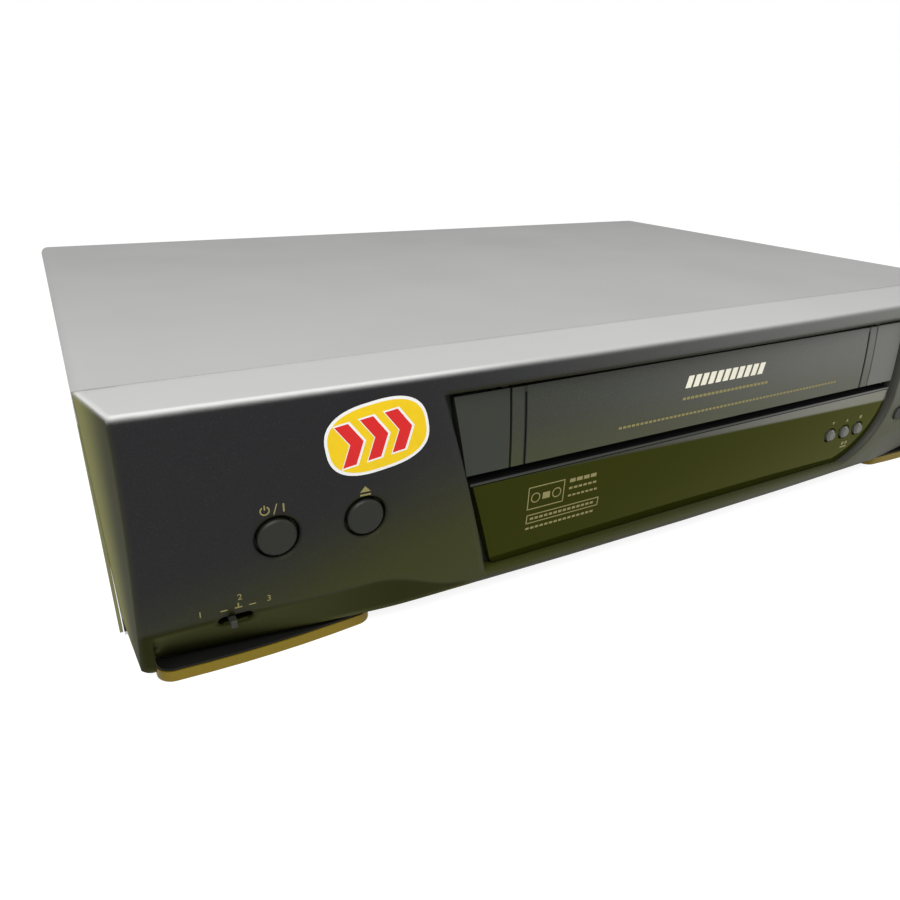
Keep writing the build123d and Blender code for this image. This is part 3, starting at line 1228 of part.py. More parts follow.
def make_tuner():
    """Screened tuner box with two coaxial aerial sockets on its back."""
    x0, x1, y0, y1 = tuner_box
    tuner = block(x0, x1, y0, y1, board_top_z, board_top_z + tuner_h)
    for i, x in enumerate(aerial_x):
        barrel = socket_barrel(x, aerial_z, y1 - 0.5, socket_end_y, aerial_r)
        barrel -= rod_y(x, aerial_z, rear_face_y, socket_end_y + 1, aerial_bore_r)
        pin = rod_y(x, aerial_z, rear_face_y - 1, socket_end_y - 1, aerial_pin_r)
        tuner += barrel + pin if i else barrel
    return tuner


def make_phono_block():
    """Moulded block of phono sockets with plated barrels through the rear panel."""
    x0, x1 = phono_x[0] - phono_wall, phono_x[1] + phono_wall
    y0, y1 = rear_panel_y - phono_d, rear_panel_y - 0.4
    body = block(x0, x1, y0, y1, board_top_z, phono_z[1] + phono_wall + 0.5)
    end_y = rear_face_y + phono_len
    for x in phono_x:
        for z in phono_z:
            body += socket_barrel(x, z, y1 - 0.5, end_y, phono_r)
            body -= rod_y(x, z, rear_face_y + 1, end_y + 1, phono_bore_r)
    return body


# ------------------------------------------------------------------- assembly
key_names = ("rewind_key", "play_key", "forward_key", "pause_key", "stop_key", "slow_key")
small_names = ("channel_down_button", "channel_up_button", "record_button")


def make_case():
    keep("front_panel", make_front_panel())
    keep("top_cover", make_cover())
    keep("base_tray", make_tray())
    keep("rear_panel", make_rear_panel())
    screw_seat_y = rear_face_y + seat_gap + sheet
    keep("cover_screws", *[screw_y(x, cover_screw_z, screw_seat_y) for x in cover_screw_places()])
    keep("front_feet", make_front_foot(-1), make_front_foot(1))
    keep("foot_trims", make_foot_trim(-1), make_foot_trim(1))
    keep("rear_feet", make_rear_foot(-1), make_rear_foot(1))


def make_front():
    keep("flap_surround", make_surround())
    keep("cassette_flap", make_flap())
    keep("flap_spring", make_flap_spring())
    keep("display_window", make_window())
    keep("display_tube", make_display())
    keep("front_board", make_front_board())
    keep("front_switches", *make_switches())
    keep("power_button", round_button(*button_power_xz, button_travel))
    keep("eject_button", round_button(*button_eject_xz, button_travel))
    for name, x in zip(small_names, small_button_x):
        keep(name, small_button(x))
    for name, (x, z) in zip(key_names, key_places()):
        keep(name, transport_key(x, z))
    keep("selector_slider", make_selector())


def make_deck():
    keep("deck_plate", make_deck_plate())
    keep("deck_screws", *make_deck_screws())
    keep("drum_base", make_drum_base())
    keep("head_drum", make_drum_top())
    keep("capstan_motor", make_capstan_motor())
    keep("capstan_rotor", make_capstan())
    keep("centre_pulley", make_centre_pulley())
    keep("reel_belt", make_belt())
    keep("idler_arm", make_idler_arm())
    keep("idler_wheel", make_idler_wheel())
    keep("supply_reel", make_reel(-1))
    keep("takeup_reel", make_reel(1))
    keep("supply_post", make_loading_post(-1))
    keep("takeup_post", make_loading_post(1))
    keep("cam_gear", make_cam_gear())
    keep("loading_pinion", make_loading_pinion())
    keep("loading_motor", make_loading_motor())
    keep("pinch_arm", make_pinch_arm())
    keep("pinch_roller", make_pinch_roller())
    keep("tension_arm", make_tension_arm())
    keep("erase_head", make_head(*erase_head_xy, 9.0, 6.0, 12.0))
    keep("control_head", make_head(*control_head_xy, 9.0, 7.0, 10.0))
    keep("carriage_frames", make_carriage_frames())
    keep("loading_rack", make_loading_rack())
    keep("cassette_carriage", make_carriage())


def make_electrics():
    keep("power_board", make_power_board())
    keep("main_board", make_main_board())
    keep("transformer", make_transformer())
    keep("capacitors", *make_capacitors())
    keep("heat_sink", make_heat_sink())
    keep("mains_inlet", make_mains_inlet())
    keep("tuner", make_tuner())
    keep("phono_sockets", make_phono_block())


make_case()
make_front()
make_deck()
make_electrics()
os.makedirs("parts", exist_ok=True)
origin_shift = -(nodes["front_panel"].bounding_box().min.Y + socket_end_y) / 2
for name, shape in nodes.items():
    export_step(Pos(0, origin_shift, 0) * shape, f"parts/{name}.step")
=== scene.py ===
# %% [markdown]
# # A video cassette recorder, finished cell by cell
# The solids come ready made from CAD, so nothing here builds the case again. This
# file loads them, gives each one a finish, prints the small marks and the sticker
# that CAD leaves out, and sets up a studio with lamps and a camera.

# %% Load the solids
import json
from math import cos, pi, radians, sin

import bmesh
import bpy
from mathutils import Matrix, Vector
from mathutils.bvhtree import BVHTree


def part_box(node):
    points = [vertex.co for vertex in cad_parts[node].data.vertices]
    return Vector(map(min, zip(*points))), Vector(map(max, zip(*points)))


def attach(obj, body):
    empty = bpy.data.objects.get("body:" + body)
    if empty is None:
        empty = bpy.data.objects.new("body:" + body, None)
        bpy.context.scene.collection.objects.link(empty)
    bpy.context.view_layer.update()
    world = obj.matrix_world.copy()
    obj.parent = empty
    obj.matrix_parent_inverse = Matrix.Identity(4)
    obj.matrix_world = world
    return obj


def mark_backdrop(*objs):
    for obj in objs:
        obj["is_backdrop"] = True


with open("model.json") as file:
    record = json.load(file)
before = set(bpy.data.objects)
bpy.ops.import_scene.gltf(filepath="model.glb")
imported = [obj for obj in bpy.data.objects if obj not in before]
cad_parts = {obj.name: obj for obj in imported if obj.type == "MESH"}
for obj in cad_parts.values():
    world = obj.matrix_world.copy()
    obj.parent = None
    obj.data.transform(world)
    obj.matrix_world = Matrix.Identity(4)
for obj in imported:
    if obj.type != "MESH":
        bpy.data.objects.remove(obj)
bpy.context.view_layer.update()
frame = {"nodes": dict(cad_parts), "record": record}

print("solids:", len(frame["nodes"]))

# %% [markdown]
# All places below are read off the front: X to the right, Z up from the table, in
# millimetres as on a maker's drawing. Blender works in metres, so one helper turns
# them round. The front datum is a flat plane just ahead of the sheet-steel cover.

# %% Units and the front datum
MM = 0.001
COVER_BEHIND_DATUM = 24.25
datum_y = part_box("top_cover")[0].y - COVER_BEHIND_DATUM * MM


def place(x, y, z):
    """Metres in the row frame from millimetres behind the front datum."""
    return Vector((x * MM, datum_y + y * MM, z * MM))


print("front datum at y =", round(datum_y, 5))

# %% [markdown]
# ## A small language for finishes
# Node trees are easier to read as sums than as boxes. `Wire` holds one output of a
# node and turns + - * and a few named steps into nodes, so a mask can be written as
# it is thought. `Finish` is one material being made: its `node` method takes any other
# node, and a few short methods name the things that many finishes share.

# %% Wire: shader maths as Python
class Wire:
    """A number that the shader works out at each point."""

    def __init__(self, socket):
        self.socket = socket

    def _math(self, operation, first, second=None):
        node = self.socket.id_data.nodes.new("ShaderNodeMath")
        node.operation = operation
        for entry, value in zip(node.inputs, (first, second)):
            if isinstance(value, Wire):
                self.socket.id_data.links.new(value.socket, entry)
            elif value is not None:
                entry.default_value = value
        return Wire(node.outputs[0])

    def __add__(self, other):
        return self._math("ADD", self, other)

    def __sub__(self, other):
        return self._math("SUBTRACT", self, other)

    def __mul__(self, other):
        return self._math("MULTIPLY", self, other)

    def __radd__(self, other):
        return self._math("ADD", other, self)

    def __rsub__(self, other):
        return self._math("SUBTRACT", other, self)

    def __rmul__(self, other):
        return self._math("MULTIPLY", other, self)

    def __abs__(self):
        return self._math("ABSOLUTE", self)

    def over(self, low, high):
        """0 below low, 1 above high and a smooth step between."""
        node = self.socket.id_data.nodes.new("ShaderNodeMapRange")
        node.interpolation_type = "SMOOTHSTEP"
        node.inputs["From Min"].default_value = low
        node.inputs["From Max"].default_value = high
        self.socket.id_data.links.new(self.socket, node.inputs["Value"])
        return Wire(node.outputs[0])

    def over_mm(self, low, high):
        """The same step along a length, with its ends in millimetres."""
        return self.over(low * MM, high * MM)

    def within_mm(self, start, end):
        """1 between two soft edges. Each edge is a pair of places in millimetres."""
        return self.over_mm(*start) * (1 - self.over_mm(*end))


print("Wire knows", [word for word in dir(Wire) if not word.startswith("__")])


# %% [markdown]
# Most finishes here need the same three things: a fine texture, a gloss that wanders,
# or two close colours that run together. `Finish` has a short method for each.

# %% Finish: one material being made
class Finish:
    """A material with a Principled shader, and the nodes that feed it."""

    def __init__(self, name, colour=None, roughness=None, **values):
        self.material = bpy.data.materials.new(name)
        self.material.use_nodes = True
        self.tree = self.material.node_tree
        self.shader = self.tree.nodes["Principled BSDF"]
        if colour is not None:
            self.set("Base Color", colour)
        if roughness is not None:
            self.set("Roughness", roughness)
        for entry, value in values.items():
            self.set(entry.replace("_", " "), value)

    def set(self, entry, value):
        """A value, or a wire, for one of the shader's sockets."""
        self._feed(self.shader.inputs[entry], value)

    def _feed(self, socket, value):
        if isinstance(value, Wire):
            self.tree.links.new(value.socket, socket)
        elif isinstance(value, tuple) and len(value) == 3 and len(socket.default_value) == 4:
            socket.default_value = (*value, 1)
        else:
            socket.default_value = value

    def node(self, kind, settings, sockets, output):
        """Any node: its settings first, then its sockets, then the output that is wanted."""
        node = self.tree.nodes.new(kind)
        for name, value in settings.items():
            setattr(node, name, value)
        for name, value in sockets.items():
            self._feed(node.inputs[name], value)
        return Wire(node.outputs[output])

    def spot(self):
        """Where the point is on the piece at rest, whatever its body does, in metres."""
        return self.node("ShaderNodeTexCoord", {}, {}, "Object")

    def part_of(self, vector, letter):
        """The X, Y or Z of a vector."""
        return self.node("ShaderNodeSeparateXYZ", {}, {"Vector": vector}, letter)

    def axis(self, letter):
        return self.part_of(self.spot(), letter)

    def grain(self, size_mm, detail=3.0):
        """Noise between 0 and 1 with grains of about that size."""
        sockets = {"Vector": self.spot(), "Scale": 1 / (size_mm * MM), "Detail": detail, "Roughness": 0.5}
        return self.node("ShaderNodeTexNoise", {}, sockets, "Fac")

    def mix(self, mask, under, over):
        """One colour over another where the mask is 1."""
        return self.node("ShaderNodeMix", {"data_type": "RGBA"}, {0: mask, 6: under, 7: over}, 2)

    def bump(self, height, depth_mm, strength, normal=None):
        sockets = {"Height": height, "Distance": depth_mm * MM, "Strength": strength}
        if normal is not None:
            sockets["Normal"] = normal
        self.set("Normal", self.node("ShaderNodeBump", {}, sockets, "Normal"))

    def texture(self, size_mm, depth_mm, strength, detail=3.0):
        """A fine grain on the surface, as a textured mould or a spray gives."""
        self.bump(self.grain(size_mm, detail), depth_mm, strength)

    def uneven_gloss(self, low, spread, size_mm, detail=3.0):
        """Roughness that wanders upwards from its lowest value."""
        self.set("Roughness", low + self.grain(size_mm, detail) * spread)

    def mottle(self, size_mm, first, second, detail=3.0):
        """Two close colours that run into each other."""
        self.set("Base Color", self.mix(self.grain(size_mm, detail), first, second))


print("Finish knows", [word for word in dir(Finish) if not word.startswith("_")])

# %% [markdown]
# ## The camera
# The recorder is seen from its left front corner, from close by, so the left end looms
# large and the right end shrinks away. A short lens near the object does that. A long
# lens further off would flatten the bowed front.

# %% Camera
CAMERA_AT = place(-215.2, -180.26, 154.79)
CAMERA_TURN = (radians(65.5662), radians(-1.5077), radians(-29.0459))
LENS_MM, SENSOR_MM = 28.519, 36
NEAREST = 0.01

camera_data = bpy.data.cameras.new("camera")
camera_data.lens = LENS_MM
camera_data.sensor_width = SENSOR_MM
camera_data.clip_start = NEAREST
camera = bpy.data.objects.new("camera", camera_data)
camera.location = CAMERA_AT
camera.rotation_euler = CAMERA_TURN
bpy.context.scene.collection.objects.link(camera)
bpy.context.scene.camera = camera
bpy.context.scene.view_settings.view_transform = "Standard"
print("camera at", [round(v, 3) for v in camera.location], "lens", camera_data.lens, "mm")

# %% [markdown]
# ## The studio
# A pale floor, soft lamps and an even sky. The floor is partly a lamp: to the eye, and
# in gloss and glass, it glows white like the sky, while the rest of it still takes the
# shadow under the feet. Diffuse light comes from the lamps and a dimmer sky.

# %% Floor, sky and lamps
FLOOR_HALF = 6.0
SKY_LIGHT = 0.42
FLOOR_GLOW, GLOW_STRENGTH = 0.7, 1.25
WHITE = (1, 1, 1, 1)


def seen_directly(tree):
    """1 for rays from the eye, off gloss or through glass, and 0 for diffuse light."""
    path = tree.nodes.new("ShaderNodeLightPath").outputs
    return Wire(path["Is Camera Ray"]) + Wire(path["Is Glossy Ray"]) + Wire(path["Is Transmission Ray"])


def make_floor():
    """A large square of pale paper that glows to the eye."""
    mesh = bpy.data.meshes.new("floor")
    corners = [(FLOOR_HALF * x, FLOOR_HALF * y, 0) for x, y in ((-1, -1), (1, -1), (1, 1), (-1, 1))]
    mesh.from_pydata(corners, [], [(0, 1, 2, 3)])
    floor = bpy.data.objects.new("floor", mesh)
    bpy.context.scene.collection.objects.link(floor)
    paper = Finish("paper", (0.9, 0.9, 0.9), 0.9)
    glow = paper.tree.nodes.new("ShaderNodeEmission")
    glow.inputs["Strength"].default_value = GLOW_STRENGTH
    blend = paper.tree.nodes.new("ShaderNodeMixShader")
    links = paper.tree.links
    links.new((seen_directly(paper.tree) * FLOOR_GLOW).socket, blend.inputs[0])
    links.new(paper.shader.outputs[0], blend.inputs[1])
    links.new(glow.outputs[0], blend.inputs[2])
    links.new(blend.outputs[0], paper.tree.nodes["Material Output"].inputs[0])
    mesh.materials.append(paper.material)
    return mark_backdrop(floor)


def light_sky():
    """An even white sky, dimmer for diffuse light than to the eye."""
    world = bpy.data.worlds.new("sky")
    world.use_nodes = True
    bpy.context.scene.world = world
    background = world.node_tree.nodes["Background"]
    background.inputs["Color"].default_value = WHITE
    strength = SKY_LIGHT + seen_directly(world.node_tree) * (1 - SKY_LIGHT)
    world.node_tree.links.new(strength.socket, background.inputs["Strength"])


LAMP_SIZE = 0.4
RECORDER_MIDDLE = Vector((0, 0, 0.04))


def add_lamp(name, at, watts):
    """A square soft lamp that looks at the middle of the recorder."""
    data = bpy.data.lights.new(name, "AREA")
    data.size = LAMP_SIZE
    data.energy = watts
    lamp = bpy.data.objects.new(name, data)
    lamp.location = at
    lamp.rotation_euler = (RECORDER_MIDDLE - Vector(at)).to_track_quat("-Z", "Y").to_euler()
    bpy.context.scene.collection.objects.link(lamp)


make_floor()
light_sky()
add_lamp("key_lamp", (-0.28, -0.42, 0.55), 4.5)
add_lamp("fill_lamp", (0.75, -0.55, 0.35), 1.2)

# %% [markdown]
# ## Finishes of the outside
# The sheet cover is sprayed with a grey enamel that dries to a fine even grain, so it
# shines softly at a low angle. Noise drives a shallow bump, and a second, slower noise
# breaks up the gloss as handling does. Painted shade darkens the grey towards the back.

# %% Cover enamel: the sprayed face
COVER_DEPTH = 290
cover_enamel = Finish("cover_enamel")
handling = cover_enamel.grain(60.0, 2.0)
cover_depth = cover_enamel.axis("Y") - datum_y
# painted shade: the grey darkens towards the back; the handling noise adds a random tone
shade = handling * 0.4 + cover_depth.over_mm(0, COVER_DEPTH) * 0.6
cover_grey = cover_enamel.mix(shade, (0.335, 0.335, 0.33), (0.27, 0.27, 0.265))
cover_enamel.set("Roughness", 0.44 + handling * 0.12)
cover_enamel.texture(0.55, 0.05, 0.5, detail=2.0)
print("cover is painted over", COVER_DEPTH, "mm of depth")

# %% [markdown]
# At the left end, where the cover wraps round the side, its cut edge and inner face show.
# They are painted a dull olive as painted shade with a warm painted reflection. Masks
# pick them out by place, and the last one keeps them off the roof.

# %% Cover enamel: cut edge and inner face
# painted shade with a warm painted reflection, for the cover's cut edge and inner face
SIDE_SHADE_OLIVE = (0.15, 0.15, 0.06)
cover_left = -1 * cover_enamel.axis("X")
cut_edge = 1 - cover_depth.over_mm(28.6, 29.0)
inner_face = 1 - cover_left.over_mm(214.5, 214.7)
below_roof = 1 - cover_enamel.axis("Z").over_mm(78, 79)
painted_end_shade = cover_left.over_mm(212.6, 213.0) * (cut_edge + inner_face) * below_roof
cover_enamel.set("Base Color", cover_enamel.mix(painted_end_shade, cover_grey, SIDE_SHADE_OLIVE))
print("cover enamel has", len(cover_enamel.tree.nodes), "nodes")

# %% [markdown]
# The moulded front is sprayed dark grey with a little metal in the paint. Two greys are
# made, each flecked with the bright tips of a fine noise, and the colour goes from the
# dark one at the left to the paler one at the right, which is painted light. A warm
# painted reflection climbs from the foot, less at the far left.

# %% Front paint: the face
front_paint = Finish("front_paint", Specular_IOR_Level=0.13, Specular_Tint=(1.0, 1.0, 0.7))
across, height = front_paint.axis("X"), front_paint.axis("Z")
flakes = front_paint.grain(0.35, 1.0).over(0.55, 0.75)
left_grey = front_paint.mix(flakes, (0.009, 0.009, 0.012), (0.016, 0.016, 0.019))
right_painted_light_grey = front_paint.mix(flakes, (0.13, 0.132, 0.125), (0.16, 0.162, 0.15))
# painted light: dark at the left, paler to the right
body_grey = front_paint.mix(across.over_mm(-150, 190), left_grey, right_painted_light_grey)
# warm painted reflection climbing from the foot
warm_painted_reflection = front_paint.mix(flakes, (0.028, 0.031, 0.002), (0.038, 0.040, 0.004))
uneven = front_paint.grain(30.0, 2.0) * (10 * MM)
rise = across.over_mm(-215, -95) * (30 * MM)
warm_reflection_mask = 1 - (height + uneven - rise).over_mm(0, 46)
body_grey = front_paint.mix(warm_reflection_mask * 0.8, body_grey, warm_painted_reflection)
print("front paint, first coat:", len(front_paint.tree.nodes), "nodes")

# %% [markdown]
# A moulding has no sharp edge. The Bevel node gives the normal that a rounded edge
# would have, and its X and Z say which way the paint faces. Faces that look down, and
# the scoop at the right of the recess, take a darker grey as painted shade.

# %% Front paint: rounded edges, and faces that look down
EDGE_ROUND, EDGE_SAMPLES = 3.5, 8
edge_size = {"Radius": EDGE_ROUND * MM}
rounded = front_paint.node("ShaderNodeBevel", {"samples": EDGE_SAMPLES}, edge_size, "Normal")
turn_x, turn_z = front_paint.part_of(rounded, "X"), front_paint.part_of(rounded, "Z")
# painted shade on faces that look down and in the scoop right of the recess
facing_down_shade = (-1 * turn_z).over(0.12, 0.4)
body_grey = front_paint.mix(facing_down_shade, body_grey, (0.010, 0.010, 0.002))
right_scoop_shade = (-1 * turn_x).over(0.12, 0.4) * across.over_mm(90, 98)
body_grey = front_paint.mix(right_scoop_shade, body_grey, (0.045, 0.045, 0.040))
print("edges are rounded by", EDGE_ROUND, "mm")

# %% [markdown]
# Along the foot runs a dark olive band of painted shade with a warm painted reflection.
# Its top edge steps down from left to right, so it is written as a start height less a
# few drops. The left end of the moulding is painted with light and shade: dark at the
# front and paler olive to the rear.

# %% Front paint: the foot and the left end
SHADE_TOP_LEFT = 22
SHADE_DROPS = ((-195, -148, 2), (-140, -106, 10), (-108, -96, 8))
shade_top = SHADE_TOP_LEFT * MM
for start, end, drop in SHADE_DROPS:
    shade_top = shade_top - across.over_mm(start, end) * (drop * MM)
# painted shade with a warm painted reflection along the foot
low_shade = 1 - (height - shade_top).over_mm(-0.7, 1.2)
body_grey = front_paint.mix(low_shade, body_grey, (0.014, 0.0155, 0.004))

depth = front_paint.axis("Y") - datum_y
# painted light and shade on the left end, paler olive towards the rear
left_end = (-1 * turn_x).over(0.3, 0.85) * (-1 * across).over_mm(190, 200)
end_painted_light = front_paint.mix(depth.over_mm(3, 24), (0.035, 0.036, 0.02), (0.18, 0.18, 0.07))
body_grey = front_paint.mix(left_end, body_grey, end_painted_light)
print("the foot's band falls by", sum(drop for _, _, drop in SHADE_DROPS), "mm in all")

# %% [markdown]
# No light gets into the gap under the door or into the wells round the two buttons.
# They are painted nearly black by place: a low strip for the gap, and a disc round each
# button's middle for its well.

# %% Front paint: gaps
GAP_BLACK = (0.001, 0.001, 0.001)
BUTTON_CENTRES = ((-170.3, 45.4), (-143.2, 45.8))
dark_gaps = height.within_mm((47.7, 47.9), (50.4, 50.6)) * across.within_mm((-103, -102), (112, 114))
flat_spot = front_paint.node("ShaderNodeCombineXYZ", {}, {"X": across, "Z": height}, "Vector")
for x, z in BUTTON_CENTRES:
    ends = {0: flat_spot, 1: (x * MM, 0, z * MM)}
    away = front_paint.node("ShaderNodeVectorMath", {"operation": "DISTANCE"}, ends, "Value")
    dark_gaps = dark_gaps + (1 - away.over_mm(6.6, 6.9))
body_grey = front_paint.mix(dark_gaps, body_grey, GAP_BLACK)
print("gaps darkened: 1 under the door and", len(BUTTON_CENTRES), "round buttons")

# %% [markdown]
# The strip that faces up, behind the rounded top edge, is painted much paler, a painted
# reflection of light from above. How far the rounded normal turns upwards picks it out,
# so the change falls in the round edge, and the edge itself carries a painted highlight
# at the left.

# %% Front paint: the top strip, gloss and texture
# painted reflection of light from above on the upward strip
strip_painted_reflection = front_paint.mix(across.over_mm(-150, 60), (0.38, 0.38, 0.375), (0.425, 0.425, 0.42))
# painted highlight on the round top edge at the left
painted_edge_highlight = turn_z.over(0.6, 0.8) * (1 - turn_z.over(0.94, 0.985)) * (1 - across.over_mm(-130, -70))
strip_painted_reflection = front_paint.mix(painted_edge_highlight, strip_painted_reflection, (0.57, 0.57, 0.56))
top_strip = turn_z.over(0.3, 0.97) * height.over_mm(80, 82)
front_paint.set("Base Color", front_paint.mix(top_strip, body_grey, strip_painted_reflection))
front_paint.set("Metallic", low_shade * (1 - left_end) * 0.9)
front_paint.set("Roughness", 0.40 + front_paint.grain(40.0) * 0.1 + left_end * 0.35)
front_paint.bump(front_paint.grain(0.4, 2.0), 0.03, 0.35, rounded)
print("front paint has", len(front_paint.tree.nodes), "nodes")

# %% [markdown]
# The cassette door wears the same kind of paint, and the same painted light: dark at
# the left, paler to the right, with a warm painted reflection low down. Two upright
# grooves run near its ends, painted nearly black as painted shade. They lie at equal
# distances from a middle line, so one mask serves for both.

# %% Door paint
DOOR_GROOVES = (-84.3, 101.2)
door_paint = Finish("door_paint", roughness=0.38, Specular_IOR_Level=0.25)
door_x = door_paint.axis("X")
door_flakes = door_paint.grain(0.3, 1.0).over(0.5, 0.75)
door_left = door_paint.mix(door_flakes, (0.018, 0.020, 0.013), (0.034, 0.036, 0.026))
door_right_painted_light = door_paint.mix(door_flakes, (0.085, 0.087, 0.078), (0.12, 0.122, 0.11))
# painted light: the door grows paler to the right
door_grey = door_paint.mix(door_x.over_mm(-100, 130), door_left, door_right_painted_light)
# warm painted reflection low on the door
door_warm_reflection_mask = 1 - door_paint.axis("Z").over_mm(50, 70)
door_grey = door_paint.mix(door_warm_reflection_mask * 0.5, door_grey, (0.034, 0.037, 0.002))
groove_middle, groove_reach = sum(DOOR_GROOVES) / 2, (DOOR_GROOVES[1] - DOOR_GROOVES[0]) / 2
# painted shade in the two grooves
from_groove = abs(abs(door_x - groove_middle * MM) - groove_reach * MM)
off_groove = from_groove.over_mm(0.5, 0.9)
door_paint.set("Base Color", door_paint.mix(off_groove, (0.006, 0.006, 0.005), door_grey))
door_paint.texture(0.4, 0.02, 0.3, detail=2.0)
print("door grooves are", round(2 * groove_reach, 1), "mm apart")

# %% [markdown]
# The window under the door is smoked acrylic, polished, and so dark that the display
# behind it only shows when lit. Its olive tint is a warm painted reflection. A paler band
# of painted reflection runs along its top, paler to the right. Its lower edge falls a
# little to the right: a straight line, written as a height and a slope.

# %% Window
BAND_X, BAND_Z, BAND_SLOPE = -38, 45.5, 0.0265
smoked_acrylic = Finish("smoked_acrylic", Specular_IOR_Level=0.045, Specular_Tint=(1.0, 1.0, 0.2),
                        Metallic=0.35)
pane_x, pane_z = smoked_acrylic.axis("X"), smoked_acrylic.axis("Z")
band_foot = BAND_Z * MM - BAND_SLOPE * (pane_x - BAND_X * MM)
# painted reflection: a paler band along the top, paler to the right
painted_reflection_band = (pane_z - band_foot).over_mm(-1.0, 0.4)
band_reflection_grey = smoked_acrylic.mix(pane_x.over_mm(-60, 110), (0.035, 0.035, 0.03), (0.17, 0.17, 0.17))
# the olive base is a warm painted reflection
smoked_acrylic.set("Base Color", smoked_acrylic.mix(painted_reflection_band, (0.022, 0.025, 0.003), band_reflection_grey))
smoked_acrylic.uneven_gloss(0.05, 0.06, 25.0)
print("the band's edge stands at", BAND_Z, "mm where x is", BAND_X, "mm")

# %% [markdown]
# The frame behind the recess is bare black plastic. Painted light makes it paler towards
# the right, as on the front, and the gap under the door is darkened on it too as painted
# shade.

# %% Frame behind the recess
frame_black = Finish("frame_black", roughness=0.5, Specular_IOR_Level=0.3)
frame_x, frame_z = frame_black.axis("X"), frame_black.axis("Z")
# painted light: paler towards the right
frame_painted_light_grey = frame_black.mix(frame_x.over_mm(0, 130), (0.015, 0.017, 0.011), (0.11, 0.112, 0.10))
# painted shade in the gap under the door
under_door = frame_z.within_mm((47.3, 47.5), (50.4, 50.6))
frame_black.set("Base Color", frame_black.mix(under_door, frame_painted_light_grey, GAP_BLACK))
frame_black.texture(0.5, 0.03, 0.4, detail=2.0)
print("frame behind the recess has", len(frame_black.tree.nodes), "nodes")

# %% [markdown]
# Buttons and feet are moulded in dark plastic with a fine spark texture, and the trim
# of the feet is painted a dull gold. One even colour each is enough, since the small
# bumps and the wandering gloss break up the light.

# %% Buttons, feet and trim
button_grey = Finish("button_grey", (0.014, 0.015, 0.011), 0.45, Specular_IOR_Level=0.16)
button_grey.texture(0.35, 0.03, 0.4, detail=2.0)

small_button_grey = Finish("small_button_grey", (0.065, 0.065, 0.055), 0.25)
small_button_grey.texture(0.35, 0.02, 0.3, detail=2.0)

foot_black = Finish("foot_black", (0.007, 0.007, 0.006), 0.55, Specular_IOR_Level=0.15)
foot_black.texture(0.6, 0.04, 0.5, detail=2.0)

trim_gold = Finish("trim_gold", (0.165, 0.115, 0.006), Metallic=0.2, Specular_IOR_Level=0.2)
trim_gold.uneven_gloss(0.38, 0.2, 6.0)
print("outside finishes:", [m.name for m in bpy.data.materials])

# %% [markdown]
# ## Finishes of the inside
# Metals first. Zinc plate has soft crystals, which a Voronoi pattern gives. The others
# are told apart by their colour and by the grain in their gloss, which is fine on
# turned alloy and coarser on a pressed motor can.

# %% Metals
CRYSTALS_PER_METRE = 210.0
zinc_plate = Finish("zinc_plate", Metallic=1.0)
crystals = zinc_plate.node("ShaderNodeTexVoronoi", {}, {"Vector": zinc_plate.spot(),
                           "Scale": CRYSTALS_PER_METRE}, "Distance")
zinc_plate.set("Roughness", 0.34 + crystals * 0.14)
zinc_plate.set("Base Color", zinc_plate.mix(crystals, (0.57, 0.57, 0.545), (0.50, 0.50, 0.48)))

bright_steel = Finish("bright_steel", (0.62, 0.62, 0.63), Metallic=1.0)
bright_steel.uneven_gloss(0.14, 0.14, 2.0)

dark_steel = Finish("dark_steel", (0.03, 0.03, 0.032), Metallic=0.9)
dark_steel.uneven_gloss(0.30, 0.15, 1.0)

turned_alloy = Finish("turned_alloy", (0.75, 0.75, 0.76), Metallic=1.0)
turned_alloy.uneven_gloss(0.20, 0.15, 0.3, detail=1.0)

motor_can = Finish("motor_can", (0.42, 0.42, 0.41), Metallic=1.0)
motor_can.uneven_gloss(0.28, 0.2, 3.0)

nickel = Finish("nickel", (0.6, 0.58, 0.53), Metallic=1.0)
nickel.uneven_gloss(0.2, 0.15, 2.0)

sink_alloy = Finish("sink_alloy", (0.08, 0.08, 0.085), 0.45, Metallic=0.9)
sink_alloy.texture(0.4, 0.02, 0.4)
print("metals:", [m.name for m in bpy.data.materials if "steel" in m.name or "alloy" in m.name])

# %% [markdown]
# Gears, arms and reels are moulded in acetal, a plastic that slides well and stays a
# little matt. A shallow texture is enough for them, for rubber and for the wound core.
# The circuit board is two browns that run into each other, and glass varies in gloss.

# %% Plastics, rubber, boards and glass
white_acetal = Finish("white_acetal", (0.72, 0.72, 0.66), 0.4)
white_acetal.texture(0.8, 0.02, 0.3)

black_acetal = Finish("black_acetal", (0.02, 0.02, 0.021), 0.4)
black_acetal.texture(0.6, 0.02, 0.3)

rubber = Finish("rubber", (0.016, 0.016, 0.016), 0.75)
rubber.texture(0.3, 0.03, 0.5, detail=2.0)

circuit_board = Finish("circuit_board", roughness=0.5)
circuit_board.mottle(1.2, (0.13, 0.07, 0.022), (0.20, 0.12, 0.045), detail=4.0)

wound_core = Finish("wound_core", (0.07, 0.05, 0.035), 0.5)
wound_core.texture(0.5, 0.04, 0.5)

tube_glass = Finish("tube_glass", (0.03, 0.05, 0.05))
tube_glass.uneven_gloss(0.06, 0.05, 10.0)

sleeve_blue = Finish("sleeve_blue", (0.01, 0.02, 0.08), 0.3)
sleeve_blue.texture(1.0, 0.02, 0.3)
print("finishes so far:", len(bpy.data.materials))

# %% [markdown]
# The record names a material slot for every solid, such as a foot or a steel pin. A
# table turns each slot into one finish, so that a look is changed in one place. Two
# slots hold pieces of more than one look, so the spring and the small buttons follow.

